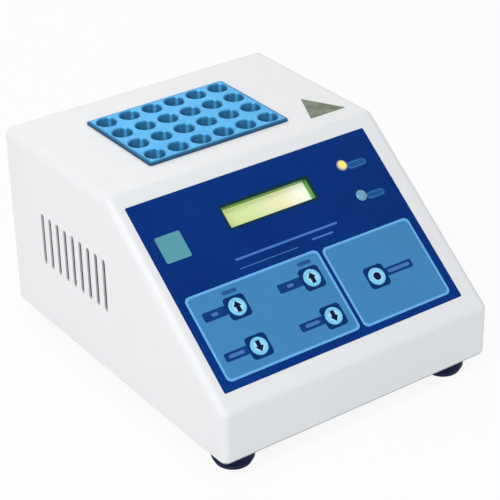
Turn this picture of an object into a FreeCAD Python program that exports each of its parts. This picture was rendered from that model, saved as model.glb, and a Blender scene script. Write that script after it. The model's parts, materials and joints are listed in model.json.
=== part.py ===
"""Dry block heater: a wedge-shaped moulded housing with a sloping key panel in front
and a drilled aluminium block with 24 wells let into its top.

Millimetres, +Z up. The origin is at the middle of the footprint, on the bench.
X runs to the right as the user sees it, the front faces -Y.
"""
import FreeCAD, Part
import math
import os
import re
import Sketcher

V = FreeCAD.Vector
doc = FreeCAD.newDocument("HeatingBlock")

# name, value, what it is
SIZES = [
    ("case_width", 200, "housing, left to right"),
    ("case_depth", 240, "housing, front to back"),
    ("case_height", 123, "housing, lower edge to flat top"),
    ("lip_height", 33, "upright front face below the slope"),
    ("flat_top_depth", 123.7, "flat top behind the slope, front to back"),
    ("edge_radius", 5, "rounding of the outer edges"),
    ("wall", 3, "housing wall"),
    ("seat_gap", 0.3, "gap between a loose piece and its seat"),
    ("slide_gap", 0.25, "gap round a piece that slides in a hole"),
    ("overlap", 0.5, "how far a piece reaches into the one that it is part of"),
    ("passing", 1, "how far a cutting tool passes the face that it opens"),
    ("fit_gap", 0.05, "radial gap of a screw or pin in its hole"),
    ("base_plate_thick", 1.5, "steel base plate"),
    ("base_inset", 1, "base plate edge in from the housing's outside"),
    ("flange_height", 10, "upturned side flange of the base plate"),
    ("flange_length", 110, "side flange, front to back"),
    ("foot_height", 11.5, "rubber foot under the base plate"),
    ("foot_diameter", 26, "foot at its top"),
    ("foot_tip_diameter", 22, "flat face of the foot on the bench"),
    ("foot_straight", 7.5, "upright part of the foot's side"),
    ("front_foot_left", 17.5, "front left foot, centre from the left side"),
    ("front_foot_right", 21.5, "front right foot, centre from the right side"),
    ("front_foot_inset", 16.5, "front feet, centre from the front"),
    ("rear_foot_side", 30, "rear feet, centre from each side"),
    ("rear_foot_inset", 15, "rear feet, centre from the back"),
    ("foot_screw_diameter", 4, "screw through a foot"),
    ("foot_head_diameter", 8, "head of the foot screw"),
    ("foot_head_height", 2.6, "head of the foot screw"),
    ("foot_head_sink", 6, "head's seat above the bench"),
    ("foot_head_gap", 1, "gap round the head in the foot"),
    ("foot_drive_flats", 2.5, "hexagon socket of the foot screw"),
    ("foot_drive_depth", 1.6, "hexagon socket of the foot screw"),
    ("foot_screw_end", 1.5, "foot screw beyond its nut"),
    ("nut_flats", 7, "foot nut, across flats"),
    ("nut_height", 3.2, "foot nut"),
    ("screw_diameter", 3, "small screws"),
    ("screw_head_diameter", 5.6, "small screw heads"),
    ("screw_head_height", 1.8, "small screw heads"),
    ("screw_cross_length", 3, "cross recess in a small screw"),
    ("screw_cross_width", 0.8, "cross recess in a small screw"),
    ("screw_grip", 4, "small screw's length behind the piece that it holds"),
    ("case_boss_diameter", 11, "boss in the housing for a base screw"),
    ("case_boss_height", 24, "boss above the base plate"),
    ("case_boss_inset", 8, "boss centre in from the housing's side"),
    ("case_boss_spacing", 150, "front boss to rear boss"),
    ("case_screw_grip", 12, "base screw's length in the boss"),
    ("vent_count", 9, "slots on each side"),
    ("vent_pitch", 9.15, "slot to slot"),
    ("vent_width", 3.4, "slot width"),
    ("vent_height", 36, "slot height"),
    ("vent_low", 42.8, "lower end of the slots above the housing's lower edge"),
    ("vent_front", 123.4, "first slot's centre from the front"),
    ("vent_wall", 1.2, "side wall where the slots are"),
    ("vent_border", 3, "thin side wall beyond the slots"),
    ("block_length", 102.6, "heating block, left to right"),
    ("block_depth", 73.9, "heating block, front to back"),
    ("block_height", 52, "heating block"),
    ("block_corner", 1.2, "heating block's upright edges"),
    ("block_edge", 0.6, "bevel round the block's top"),
    ("block_shift", 4, "block centre left of the middle"),
    ("block_back", 67, "block centre from the housing's back"),
    ("block_proud", 2, "block top above the housing"),
    ("well_columns", 6, "wells, left to right"),
    ("well_rows", 4, "wells, front to back"),
    ("well_pitch", 17, "well to well, left to right"),
    ("well_row_pitch", 18.7, "well to well, front to back"),
    ("well_diameter", 13, "well bore"),
    ("well_mouth", 14.2, "well mouth"),
    ("well_depth", 40, "well, straight part"),
    ("gasket_width", 0.7, "visible edge of the gasket"),
    ("gasket_foot", 4, "gasket flange under the top"),
    ("gasket_foot_height", 3, "gasket flange"),
    ("gasket_low", 0.7, "gasket edge below the block's top"),
    ("jacket_wall", 9, "insulation round the block"),
    ("heater_thick", 3, "heater plate"),
    ("carrier_thick", 1.5, "folded block carrier"),
    ("carrier_length", 140, "carrier, left to right over its legs"),
    ("carrier_depth", 94, "carrier, front to back"),
    ("carrier_foot", 12, "carrier's turned-in feet"),
    ("carrier_screw_spacing", 60, "carrier screws, front to back"),
    ("carrier_screw_end", 3, "carrier screw above the turned-in foot"),
    ("cutout_diameter", 16, "thermal cut-out"),
    ("cutout_height", 7, "thermal cut-out"),
    ("cutout_tab_side", 7.2, "its tabs, centre from its axis"),
    ("cutout_tab_length", 8, "its tabs"),
    ("cutout_tab_width", 4, "its tabs"),
    ("tab_thick", 0.8, "connector tabs"),
    ("probe_diameter", 4, "temperature probe"),
    ("probe_depth", 30, "probe's length in the block"),
    ("probe_reach", 12, "probe's length behind the block"),
    ("probe_collar_diameter", 6, "probe's collar"),
    ("probe_low", 4.5, "probe axis above the block's underside"),
    ("overlay_left", 8.3, "panel film, left edge from the housing's side"),
    ("overlay_low", 12, "panel film, lower edge up the slope"),
    ("overlay_right", 14, "panel film, right edge from the housing's side"),
    ("overlay_top", 9.65, "panel film, upper edge below the slope's top"),
    ("overlay_corner", 1, "panel film's corners"),
    ("overlay_thick", 0.7, "panel film"),
    ("overlay_recess", 0.5, "shallow seat for the film"),
    ("window_left", 65.4, "display opening, left edge"),
    ("window_top", 28.55, "display opening, upper edge below the slope's top"),
    ("window_length", 64.5, "display opening"),
    ("window_rise", 14.6, "display opening"),
    ("window_depth", 6, "display glass below the panel"),
    ("frame_wall", 0.8, "frame that lines the display opening"),
    ("glass_thick", 1, "display glass"),
    ("display_length", 71.3, "display can"),
    ("display_rise", 26.8, "display can"),
    ("display_height", 6, "display can"),
    ("display_board_length", 80, "display's own board"),
    ("display_board_rise", 36, "display's own board"),
    ("board_thick", 1.6, "printed boards"),
    ("key_diameter", 11.4, "key cap"),
    ("key_proud", 0.9, "key cap above the film"),
    ("key_rim", 1.9, "raised ring of the key cap"),
    ("key_dish", 0.4, "depth inside the ring"),
    ("key_flange", 1.5, "key flange outside the cap, each side"),
    ("key_flange_thick", 1, "key flange"),
    ("key_stem_diameter", 4, "key stem"),
    ("key_travel", 0.5, "how far a key goes down"),
    ("key_left_column", 42.9, "temperature keys, from the left side"),
    ("key_middle_column", 97.4, "time keys, from the left side"),
    ("key_right_column", 138.5, "start key, from the left side"),
    ("key_low_row", 30.5, "down keys, up the slope"),
    ("key_high_row", 57.2, "up keys, up the slope"),
    ("key_middle_row", 43.3, "start key, up the slope"),
    ("switch_side", 6, "key switch body"),
    ("switch_height", 3.5, "key switch body"),
    ("plunger_diameter", 3.4, "key switch plunger"),
    ("plunger_height", 1.3, "key switch plunger"),
    ("lamp_diameter", 7.6, "panel lamps"),
    ("lamp_proud", 1.6, "panel lamp dome above the film"),
    ("leg_pitch", 2.54, "legs of lamps and of the switching element"),
    ("power_lamp_right", 42.5, "upper lamp, from the right side"),
    ("heater_lamp_right", 41, "lower lamp, from the right side"),
    ("power_lamp_top", 29, "upper lamp, below the slope's top"),
    ("heater_lamp_top", 51.8, "lower lamp, below the slope's top"),
    ("control_board_left", 22, "control board, left edge"),
    ("control_board_low", 16, "control board, lower edge"),
    ("control_board_length", 154, "control board"),
    ("control_board_top", 17, "control board, upper edge below the slope's top"),
    ("board_boss_diameter", 7, "boss under the panel for the board"),
    ("board_boss_inset", 5, "boss in from the board's edges"),
    ("board_screw_grip", 6, "screw's length in a board boss"),
    ("triangle_side", 27.1, "foil triangle, front edge"),
    ("triangle_rise", 26.9, "foil triangle, front edge to tip"),
    ("triangle_lean", 1.1, "tip, to the left of the middle"),
    ("triangle_right", 25.3, "foil triangle's middle from the right side"),
    ("triangle_back", 110.4, "foil triangle's front edge from the back"),
    ("triangle_thick", 0.3, "foil triangle"),
    ("bay_length", 140, "connector bay in the back"),
    ("bay_height", 48, "connector bay"),
    ("bay_low", 14, "connector bay above the housing's lower edge"),
    ("bay_depth", 8, "rear panel below the back face"),
    ("bay_wall", 2, "rim round the bay"),
    ("bay_corner", 3, "connector bay's corners"),
    ("rear_panel_thick", 2, "rear panel"),
    ("rear_panel_border", 11, "rear panel beyond the bay, each side"),
    ("inlet_side", 42, "inlet's centre right of the middle"),
    ("inlet_flange_length", 50, "inlet flange"),
    ("inlet_flange_height", 28, "inlet flange"),
    ("inlet_flange_thick", 3, "inlet flange"),
    ("inlet_body_length", 28, "inlet body"),
    ("inlet_body_height", 20.5, "inlet body"),
    ("inlet_body_depth", 20, "inlet body behind the panel"),
    ("inlet_socket_length", 24.6, "inlet's hollow"),
    ("inlet_socket_height", 16.6, "inlet's hollow"),
    ("inlet_socket_depth", 17, "inlet's hollow"),
    ("inlet_socket_corner", 4.5, "cut corners of the hollow"),
    ("inlet_screw_spacing", 40, "inlet screws"),
    ("pin_width", 4, "inlet pin"),
    ("pin_thick", 2, "inlet pin"),
    ("pin_length", 13, "inlet pin in the hollow"),
    ("pin_tail", 8, "inlet pin's tab behind the body"),
    ("pin_spacing", 7, "inlet pins, to each side"),
    ("pin_offset", 2, "line and earth pins off the middle"),
    ("rocker_side", 42, "switch centre left of the middle"),
    ("rocker_bezel_width", 15, "switch bezel"),
    ("rocker_bezel_height", 21, "switch bezel"),
    ("rocker_bezel_thick", 1.6, "switch bezel"),
    ("rocker_body_width", 12.8, "switch body"),
    ("rocker_body_height", 19, "switch body"),
    ("rocker_body_depth", 13, "switch body behind the panel"),
    ("rocker_width", 10, "rocker"),
    ("rocker_radius", 7.4, "rocker's rounded ends about its pivot"),
    ("rocker_angle", 12, "each face of the rocker off the middle"),
    ("rocker_crown", 2.2, "rocker's waist above its pivot"),
    ("rocker_pivot_depth", 3, "pivot below the bezel's face"),
    ("rocker_tab_spacing", 9.5, "switch tabs, centre to centre"),
    ("rocker_pin_diameter", 3, "rocker's pivot pins"),
    ("rocker_pin_length", 1, "rocker's pivot pins, each side"),
    ("fuse_flange_diameter", 15.6, "fuse holder flange"),
    ("fuse_flange_thick", 1.6, "fuse holder flange"),
    ("fuse_body_diameter", 12, "fuse holder body"),
    ("fuse_body_depth", 30, "fuse holder behind the panel"),
    ("fuse_bore", 6, "fuse holder's bore"),
    ("fuse_cap_diameter", 12.6, "fuse cap"),
    ("fuse_cap_height", 4, "fuse cap"),
    ("fuse_slot", 1.2, "coin slot in the fuse cap"),
    ("fuse_stem", 3, "fuse cap's stem in the bore"),
    ("fuse_diameter", 5.2, "glass fuse"),
    ("fuse_length", 20, "glass fuse"),
    ("fuse_end_length", 5, "metal ends of the fuse"),
    ("fuse_tab_length", 6, "fuse holder's tabs"),
    ("fuse_tab_back", 18, "side tab, centre behind the panel"),
    ("fuse_nut_flats", 15, "fuse holder nut"),
    ("fuse_nut_thick", 2.5, "fuse holder nut"),
    ("power_board_length", 108, "power board, left to right"),
    ("power_board_depth", 72, "power board, front to back"),
    ("power_board_back", 35, "power board's rear edge from the back"),
    ("spacer_height", 8, "board spacers"),
    ("spacer_diameter", 6, "board spacers"),
    ("spacer_inset", 4, "spacer in from the board's edges"),
    ("board_part_side", 27, "transformer and heat sink, from the board's middle line"),
    ("core_length", 42, "transformer core"),
    ("core_depth", 14, "transformer core, front to back"),
    ("core_height", 35, "transformer core"),
    ("core_leg", 7, "transformer core's limbs"),
    ("coil_depth", 27, "transformer coil, front to back"),
    ("sink_front", 18, "heat sink plate, ahead of the board's middle"),
    ("sink_length", 30, "heat sink"),
    ("sink_height", 30, "heat sink"),
    ("sink_base", 3, "heat sink back plate"),
    ("sink_fin", 9, "heat sink fins"),
    ("sink_fin_thick", 1.2, "heat sink fins"),
    ("sink_fin_count", 6, "heat sink fins"),
    ("triac_width", 10, "heater switching element"),
    ("triac_thick", 4.5, "heater switching element"),
    ("triac_height", 15, "heater switching element"),
    ("triac_lift", 6, "heater switching element above its board"),
    ("terminal_length", 30, "terminal block"),
    ("terminal_depth", 10, "terminal block"),
    ("terminal_height", 11, "terminal block"),
    ("terminal_pitch", 9.4, "terminal to terminal"),
    ("terminal_back", 10, "terminal block's middle from the board's rear edge"),
    ("terminal_well", 5, "terminal well"),
    ("wire_diameter", 2.2, "mains and heater wires"),
    ("wire_bend", 6, "bends of a wire, to its axis"),
    ("lead_diameter", 1.6, "leads of the probe and the cut-out"),
    ("lead_hole", 4, "hole in the carrier for a heater lead"),
    ("heater_lead_drop", 23, "heater lead, down to its level run"),
    ("cutout_lead_drop", 10, "cut-out lead, down to its level run"),
    ("cutout_lead_side", 9.6, "cut-out lead from the cut-out's axis"),
    ("cutout_lead_back", 13, "cut-out lead's end from the board's rear edge"),
    ("probe_lead_drop", 18, "probe lead, down to its level run"),
    ("probe_lead_back", 19, "probe lead's end from the board's rear edge"),
    ("live_drop", 11, "wire from the inlet to the fuse, down to its level run"),
    ("fused_drop", 9, "wire from the fuse to the switch, down to its level run"),
    ("switched_rise", 8.5, "wire from the switch to the board, up to its level run"),
    ("switched_back", 11, "that wire's end from the board's rear edge"),
    ("neutral_drop", 7, "wire from the inlet to the board, down to its level run"),
    ("neutral_side", 46, "that wire's end from the board's middle line"),
    ("neutral_back", 15, "that wire's end from the board's rear edge"),
    ("earth_drop", 29, "wire from the inlet to the base plate, down to its level run"),
    ("earth_back", 18, "that wire's end from the housing's back"),
    ("ribbon_width", 20, "flat cable"),
    ("ribbon_thick", 1, "flat cable"),
    ("ribbon_bend", 8, "bends of the flat cable, to its middle"),
    ("ribbon_rise", 50, "its upper plug, up the slope"),
    ("ribbon_drop", 14, "straight part below its upper plug"),
    ("ribbon_front", 5, "its lower plug from the board's front edge"),
    ("plug_length", 24, "plugs of the flat cable"),
    ("plug_width", 6, "plugs of the flat cable"),
    ("plug_height", 8, "plugs of the flat cable"),
]

sheet = doc.addObject("Spreadsheet::Sheet", "Sizes")
for row, (alias, value, note) in enumerate(SIZES, start=1):
    sheet.set("A%d" % row, alias)
    sheet.set("B%d" % row, str(value))
    sheet.set("C%d" % row, note)
    sheet.setAlias("B%d" % row, alias)
doc.recompute()

WORDS = re.compile(r"\b(" + "|".join(alias for alias, value, note in SIZES) + r")\b")


def on_sheet(text):
    """Turn bare size names in an expression into references to the sheet."""
    return WORDS.sub(r"Sizes.\1", str(text))


def number(text):
    """The present value of an expression."""
    result = sheet.evalExpression(on_sheet(text))
    return float(getattr(result, "Value", result))


def bind(obj, **props):
    for prop, text in props.items():
        obj.setExpression(prop, on_sheet(text))


def place(obj, x=0, y=0, z=0, axis=(0, 0, 1), angle=0):
    values = (x, y, z) + tuple(axis) + (angle,)
    return put(obj, "placement(vector(%s; %s; %s); rotation(vector(%s; %s; %s); %s))" % values)


def put(obj, placement):
    obj.setExpression("Placement", on_sheet(placement))
    return obj


# Plain solids and booleans

def box(name, x, y, z, length, width, height):
    """A block centred on x and y that stands on z."""
    obj = doc.addObject("Part::Box", name)
    bind(obj, Length=length, Width=width, Height=height)
    return place(obj, f"({x}) - ({length}) / 2", f"({y}) - ({width}) / 2", z)


def rod(name, x, y, z, diameter, height, axis=(0, 0, 1), angle=0):
    obj = doc.addObject("Part::Cylinder", name)
    bind(obj, Radius=f"({diameter}) / 2", Height=height)
    return place(obj, x, y, z, axis, angle)


def hexagon(name, x, y, z, flats, height, axis=(0, 0, 1), angle=0):
    obj = doc.addObject("Part::Prism", name)
    obj.Polygon = 6
    bind(obj, Circumradius=f"({flats}) / 2 / cos(30)", Height=height)
    return place(obj, x, y, z, axis, angle)


def fuse(name, parts):
    obj = doc.addObject("Part::MultiFuse", name)
    obj.Shapes = parts
    return obj


def cut(name, base, tools):
    obj = doc.addObject("Part::Cut", name)
    obj.Base = base
    obj.Tool = tools[0] if len(tools) == 1 else fuse(name + "_tools", tools)
    return obj


def group(name, parts):
    """Like pieces kept as separate solids in one node."""
    obj = doc.addObject("Part::Compound", name)
    obj.Links = parts
    return obj


# Sketches whose every size is bound to the sheet

def new_body(name):
    return doc.addObject("PartDesign::Body", name)


def new_sketch(body, name, plane="XY_Plane", offset=None):
    sketch = body.newObject("Sketcher::SketchObject", name)
    origin = [feature for feature in body.Origin.OriginFeatures if feature.Role == plane][0]
    sketch.AttachmentSupport = (origin, [""])
    sketch.MapMode = "FlatFace"
    if offset is not None:
        sketch.setExpression("AttachmentOffset", on_sheet(offset))
    return sketch


def constrain(sketch, kind, args, text):
    index = sketch.addConstraint(Sketcher.Constraint(kind, *args, number(text)))
    sketch.setExpression("Constraints[%d]" % index, on_sheet(text))


def outline(sketch, points):
    """A closed outline of straight lines through points given as pairs of expressions."""
    corners = [V(number(x), number(y), 0) for x, y in points]
    count = len(corners)
    first = sketch.addGeometry([Part.LineSegment(corners[i], corners[(i + 1) % count])
                                for i in range(count)], False)[0]
    for i, (x, y) in enumerate(points):
        sketch.addConstraint(Sketcher.Constraint("Coincident", first + i, 2, first + (i + 1) % count, 1))
        constrain(sketch, "DistanceX", (-1, 1, first + i, 1), x)
        constrain(sketch, "DistanceY", (-1, 1, first + i, 1), y)


def rectangle(sketch, x, y, length, width):
    left = f"({x}) - ({length}) / 2"
    right = f"({x}) + ({length}) / 2"
    low = f"({y}) - ({width}) / 2"
    high = f"({y}) + ({width}) / 2"
    outline(sketch, [(left, low), (right, low), (right, high), (left, high)])


def circle(sketch, x, y, diameter):
    index = sketch.addGeometry(Part.Circle(V(number(x), number(y), 0), V(0, 0, 1), number(diameter) / 2))
    constrain(sketch, "DistanceX", (-1, 1, index, 3), x)
    constrain(sketch, "DistanceY", (-1, 1, index, 3), y)
    constrain(sketch, "Diameter", (index,), diameter)


def pad(body, name, sketch, length, symmetric=False, reverse=False):
    feature = body.newObject("PartDesign::Pad", name)
    feature.Profile = sketch
    feature.SideType = "Symmetric" if symmetric else "One side"
    feature.Reversed = reverse
    bind(feature, Length=length)
    return feature


def pocket(body, name, sketch, length, symmetric=False, reverse=False):
    feature = body.newObject("PartDesign::Pocket", name)
    feature.Profile = sketch
    feature.SideType = "Symmetric" if symmetric else "One side"
    feature.Reversed = reverse
    bind(feature, Length=length)
    return feature


def revolve(body, name, sketch, axis="V_Axis"):
    feature = body.newObject("PartDesign::Revolution", name)
    feature.Profile = sketch
    feature.ReferenceAxis = (sketch, [axis])
    feature.Angle = 360
    return feature


def edges_where(feature, test):
    return ["Edge%d" % (i + 1) for i, edge in enumerate(feature.Shape.Edges) if test(edge)]


def round_edges(body, name, base, test, radius):
    doc.recompute()
    feature = body.newObject("PartDesign::Fillet", name)
    feature.Base = (base, edges_where(base, test))
    bind(feature, Radius=radius)
    return feature


def bevel_edges(body, name, base, test, size):
    doc.recompute()
    feature = body.newObject("PartDesign::Chamfer", name)
    feature.Base = (base, edges_where(base, test))
    bind(feature, Size=size)
    return feature


def upright(edge):
    low = edge.BoundBox.ZMin
    high = edge.BoundBox.ZMax
    return high - low > 1e-3 and edge.BoundBox.XLength < 1e-3 and edge.BoundBox.YLength < 1e-3


# Levels, planes and centres that several pieces share
FLOOR = "(foot_height + base_plate_thick)"
TOP = f"({FLOOR} + case_height)"
FRONT = "(-case_depth / 2)"
BACK = "(case_depth / 2)"
LEFT = "(-case_width / 2)"
SLOPE_RUN = "(case_depth - flat_top_depth)"
SLOPE = f"atan((case_height - lip_height) / {SLOPE_RUN})"
SLOPE_LENGTH = f"hypot({SLOPE_RUN}; case_height - lip_height)"
PANEL = f"placement(vector({LEFT}; {FRONT}; {FLOOR} + lip_height); rotation(vector(1; 0; 0); {SLOPE}))"
BLOCK_X = "(-block_shift)"
BLOCK_Y = f"({BACK} - block_back)"
BLOCK_TOP = f"({TOP} + block_proud)"
BLOCK_LOW = f"({BLOCK_TOP} - block_height)"
HEATER_LOW = f"({BLOCK_LOW} - heater_thick)"
ROCKER_Z = "(rocker_bezel_thick - rocker_pivot_depth)"
BAY_MIDDLE = f"({FLOOR} + bay_low + bay_height / 2)"
REAR = f"placement(vector(0; {BACK} - bay_depth; {BAY_MIDDLE}); rotation(vector(0; 1; 1); 180))"
FILM_LENGTH = "(case_width - overlay_left - overlay_right)"
FILM_RISE = f"({SLOPE_LENGTH} - overlay_low - overlay_top)"
FILM_X = f"(overlay_left + {FILM_LENGTH} / 2)"
FILM_Y = f"(overlay_low + {FILM_RISE} / 2)"
FILM_TOP = "(overlay_thick - overlay_recess)"
WINDOW_X = "(window_left + window_length / 2)"
WINDOW_Y = f"({SLOPE_LENGTH} - window_top - window_rise / 2)"
CONTROL_DEPTH = "(window_depth + display_height + board_thick)"
BOARD_X = "(control_board_left + control_board_length / 2)"
BOARD_RISE = f"({SLOPE_LENGTH} - control_board_low - control_board_top)"
BOARD_Y = f"(control_board_low + {BOARD_RISE} / 2)"
POWER_BOARD_Y = f"({BACK} - power_board_back - power_board_depth / 2)"
POWER_BOARD_LOW = f"({FLOOR} + spacer_height)"
POWER_BOARD_TOP = f"({POWER_BOARD_LOW} + board_thick)"
POWER_BOARD_END = f"({POWER_BOARD_Y} + power_board_depth / 2)"
CORE_X = f"({BLOCK_X} - board_part_side)"
SINK_X = f"({BLOCK_X} + board_part_side)"
TERMINAL_Y = f"({POWER_BOARD_END} - terminal_back)"
HOLE_LENGTH = f"(block_length + 2 * gasket_width + 2 * fit_gap)"
HOLE_DEPTH = f"(block_depth + 2 * gasket_width + 2 * fit_gap)"
KEYS = {
    "temp_up_key": ("key_left_column", "key_high_row"),
    "temp_down_key": ("key_left_column", "key_low_row"),
    "time_up_key": ("key_middle_column", "key_high_row"),
    "time_down_key": ("key_middle_column", "key_low_row"),
    "start_key": ("key_right_column", "key_middle_row"),
}
LAMPS = {
    "power_lamp": ("case_width - power_lamp_right", f"{SLOPE_LENGTH} - power_lamp_top"),
    "heater_lamp": ("case_width - heater_lamp_right", f"{SLOPE_LENGTH} - heater_lamp_top"),
}
nodes = {}


# The moulded housing

def wedge_outline(sketch, inset):
    """Side view of the housing, moved inwards by inset; y to the back, z up."""
    lean = f"tan({SLOPE})"
    front = f"{FRONT} + {inset}"
    back = f"{BACK} - {inset}"
    top = f"{TOP} - {inset}"
    lip = f"{FLOOR} + lip_height + {inset} * ({lean} - 1 / cos({SLOPE}))"
    crest = f"{FRONT} + {SLOPE_RUN} + {inset} * (1 / cos({SLOPE}) - 1) / {lean}"
    low = FLOOR if inset == "0" else f"{FLOOR} - 1"
    outline(sketch, [(front, low), (back, low), (back, top), (crest, top), (front, lip)])


def make_case_shell():
    body = new_body("case_shell")
    side = new_sketch(body, "case_side", "YZ_Plane")
    wedge_outline(side, "0")
    block = pad(body, "case_solid", side, "case_width", symmetric=True)
    floor = number(FLOOR)
    round_edges(body, "case_rounding", block, lambda edge: edge.BoundBox.ZMax > floor + 1e-3, "edge_radius")
    hollow = new_sketch(body, "case_hollow_side", "YZ_Plane")
    wedge_outline(hollow, "wall")
    pocket(body, "case_hollow", hollow, "case_width - 2 * wall", symmetric=True)
    return body


def slot_row(name, x, y, width, height, length, count, pitch, plane="XY_Plane"):
    """Round-ended slots, long in the sketch's y, in a row along its x, made as one cutting tool."""
    body = new_body(name)
    sketch = new_sketch(body, name + "_outline", plane)
    low = f"({y}) + ({width}) / 2"
    high = f"({y}) + ({height}) - ({width}) / 2"
    half = number(width) / 2
    left = number(x) - half
    right = number(x) + half
    bottom_ring = Part.Circle(V(number(x), number(low), 0), V(0, 0, 1), half)
    top_ring = Part.Circle(V(number(x), number(high), 0), V(0, 0, 1), half)
    bottom = sketch.addGeometry(Part.ArcOfCircle(bottom_ring, math.pi, 2 * math.pi))
    side_b = sketch.addGeometry(Part.LineSegment(V(right, number(low), 0), V(right, number(high), 0)))
    top = sketch.addGeometry(Part.ArcOfCircle(top_ring, 0, math.pi))
    side_a = sketch.addGeometry(Part.LineSegment(V(left, number(high), 0), V(left, number(low), 0)))
    for a, b in ((bottom, side_b), (side_b, top), (top, side_a), (side_a, bottom)):
        sketch.addConstraint(Sketcher.Constraint("Tangent", a, 2, b, 1))
    sketch.addConstraint(Sketcher.Constraint("Equal", bottom, top))
    constrain(sketch, "Radius", (bottom,), f"({width}) / 2")
    for arc, level in ((bottom, low), (top, high)):
        constrain(sketch, "DistanceX", (-1, 1, arc, 3), x)
        constrain(sketch, "DistanceY", (-1, 1, arc, 3), level)
    solid = pad(body, name + "_slot", sketch, length, symmetric=True)
    doc.recompute()
    row = body.newObject("PartDesign::LinearPattern", name + "_row")
    row.Originals = [solid]
    row.Direction = (sketch, ["H_Axis"])
    row.Mode = "Spacing"
    bind(row, Offset=pitch, Occurrences=count)
    body.Tip = row
    return body


def board_corners():
    dx = "(control_board_length / 2 - board_boss_inset)"
    dy = f"({BOARD_RISE} / 2 - board_boss_inset)"
    return [(f"{BOARD_X} + {sx} * {dx}", f"{BOARD_Y} + {sy} * {dy}") for sx in (-1, 1) for sy in (-1, 1)]


def rear_panel_corners():
    dx = "(bay_length / 2 + rear_panel_border / 2)"
    dy = "(bay_height / 2 + rear_panel_border / 2)"
    return [(f"{sx} * {dx}", f"{sy} * {dy}") for sx in (-1, 1) for sy in (-1, 1)]


def case_boss_places():
    dx = "(case_width / 2 - case_boss_inset)"
    return [(f"{sx} * {dx}", f"{sy} * case_boss_spacing / 2") for sx in (-1, 1) for sy in (-1, 1)]


def rounded_block(name, length, width, height, radius):
    """An upright block with rounded corners, standing on its own origin."""
    body = new_body(name)
    sketch = new_sketch(body, name + "_plan")
    rectangle(sketch, "0", "0", length, width)
    solid = pad(body, name + "_pad", sketch, height)
    round_edges(body, name + "_corners", solid, upright, radius)
    return body


def make_case_cover():
    pilot = "screw_diameter + 2 * fit_gap"
    shell = make_case_shell()
    bosses = [rod("case_boss_%d" % i, x, y, FLOOR, "case_boss_diameter", "case_boss_height")
              for i, (x, y) in enumerate(case_boss_places())]
    pilots = [rod("case_pilot_%d" % i, x, y, f"{FLOOR} - passing", pilot, "case_screw_grip + 2 * passing")
              for i, (x, y) in enumerate(case_boss_places())]
    posts = put(fuse("board_posts", [rod("board_post_%d" % i, x, y, f"-{CONTROL_DEPTH}",
                                         "board_boss_diameter", f"{CONTROL_DEPTH} - wall + overlap")
                                     for i, (x, y) in enumerate(board_corners())]), PANEL)
    post_pilots = put(fuse("post_pilots", [
        rod("post_pilot_%d" % i, x, y, f"-{CONTROL_DEPTH} - passing", pilot, "board_screw_grip + 2 * passing")
        for i, (x, y) in enumerate(board_corners())]), PANEL)
    panel_posts = put(fuse("panel_posts", [
        rod("panel_post_%d" % i, x, y, "0", "board_boss_diameter", "bay_depth - wall + overlap")
        for i, (x, y) in enumerate(rear_panel_corners())]), REAR)
    panel_pilots = put(fuse("panel_pilots", [
        rod("panel_pilot_%d" % i, x, y, "-passing", pilot, "bay_depth - wall")
        for i, (x, y) in enumerate(rear_panel_corners())]), REAR)
    bay_rim = on_rear(rounded_block("bay_rim", "bay_length + 2 * bay_wall", "bay_height + 2 * bay_wall",
                                    "bay_depth - wall + overlap", "bay_corner + bay_wall"))
    body = fuse("case_body", [shell] + bosses + [posts, panel_posts, bay_rim])

    block_opening = place(rounded_block("block_opening", HOLE_LENGTH, HOLE_DEPTH, "4 * wall",
                                        "block_corner + gasket_width"), BLOCK_X, BLOCK_Y, f"{TOP} - 2 * wall")
    bay = on_rear(rounded_block("bay_opening", "bay_length", "bay_height", "2 * bay_depth", "bay_corner"),
                  z="-passing")
    film_seat = on_panel(rounded_block("film_seat", f"{FILM_LENGTH} + 2 * fit_gap",
                                       f"{FILM_RISE} + 2 * fit_gap", "overlay_recess + 2 * passing",
                                       "overlay_corner"), FILM_X, FILM_Y, "-overlay_recess")
    holes = [box("window_hole", WINDOW_X, WINDOW_Y, "-2 * wall",
                 "window_length + 2 * frame_wall + 2 * fit_gap", "window_rise + 2 * frame_wall + 2 * fit_gap",
                 "3 * wall")]
    for name, (x, y) in KEYS.items():
        holes.append(rod(name + "_hole", x, y, "-2 * wall", "key_diameter + 2 * slide_gap", "3 * wall"))
    for name, (x, y) in LAMPS.items():
        holes.append(rod(name + "_hole", x, y, "-2 * wall", "lamp_diameter + 2 * fit_gap", "3 * wall"))
    panel_holes = put(fuse("panel_holes", holes), PANEL)
    thin_length = "((vent_count - 1) * vent_pitch + vent_width + 2 * vent_border)"
    thin_middle = f"({FRONT} + vent_front + (vent_count - 1) * vent_pitch / 2)"
    thin_walls = box("vent_thinning", "0", thin_middle, f"{FLOOR} + vent_low - vent_border",
                     "case_width - 2 * vent_wall", thin_length, "vent_height + 2 * vent_border")
    vents = slot_row("side_vents", f"{FRONT} + vent_front", f"{FLOOR} + vent_low", "vent_width",
                     "vent_height", "case_width + 2 * passing", "vent_count", "vent_pitch", "YZ_Plane")
    return cut("case_cover", body, pilots + [post_pilots, panel_pilots, block_opening, bay, film_seat,
                                             panel_holes, thin_walls, vents])


def on_panel(obj, x="0", y="0", z="0"):
    return put(obj, f"{PANEL} * placement(vector({x}; {y}; {z}); rotation(vector(0; 0; 1); 0))")


def on_rear(obj, x="0", y="0", z="0", angle="0"):
    return put(obj, f"{REAR} * placement(vector({x}; {y}; {z}); rotation(vector(1; 0; 0); {angle}))")


# Base plate and feet

def foot_places():
    return {
        "front_left_foot": (f"{LEFT} + front_foot_left", f"{FRONT} + front_foot_inset"),
        "front_right_foot": (f"-{LEFT} - front_foot_right", f"{FRONT} + front_foot_inset"),
        "rear_left_foot": (f"{LEFT} + rear_foot_side", f"{BACK} - rear_foot_inset"),
        "rear_right_foot": (f"-{LEFT} - rear_foot_side", f"{BACK} - rear_foot_inset"),
    }


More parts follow.
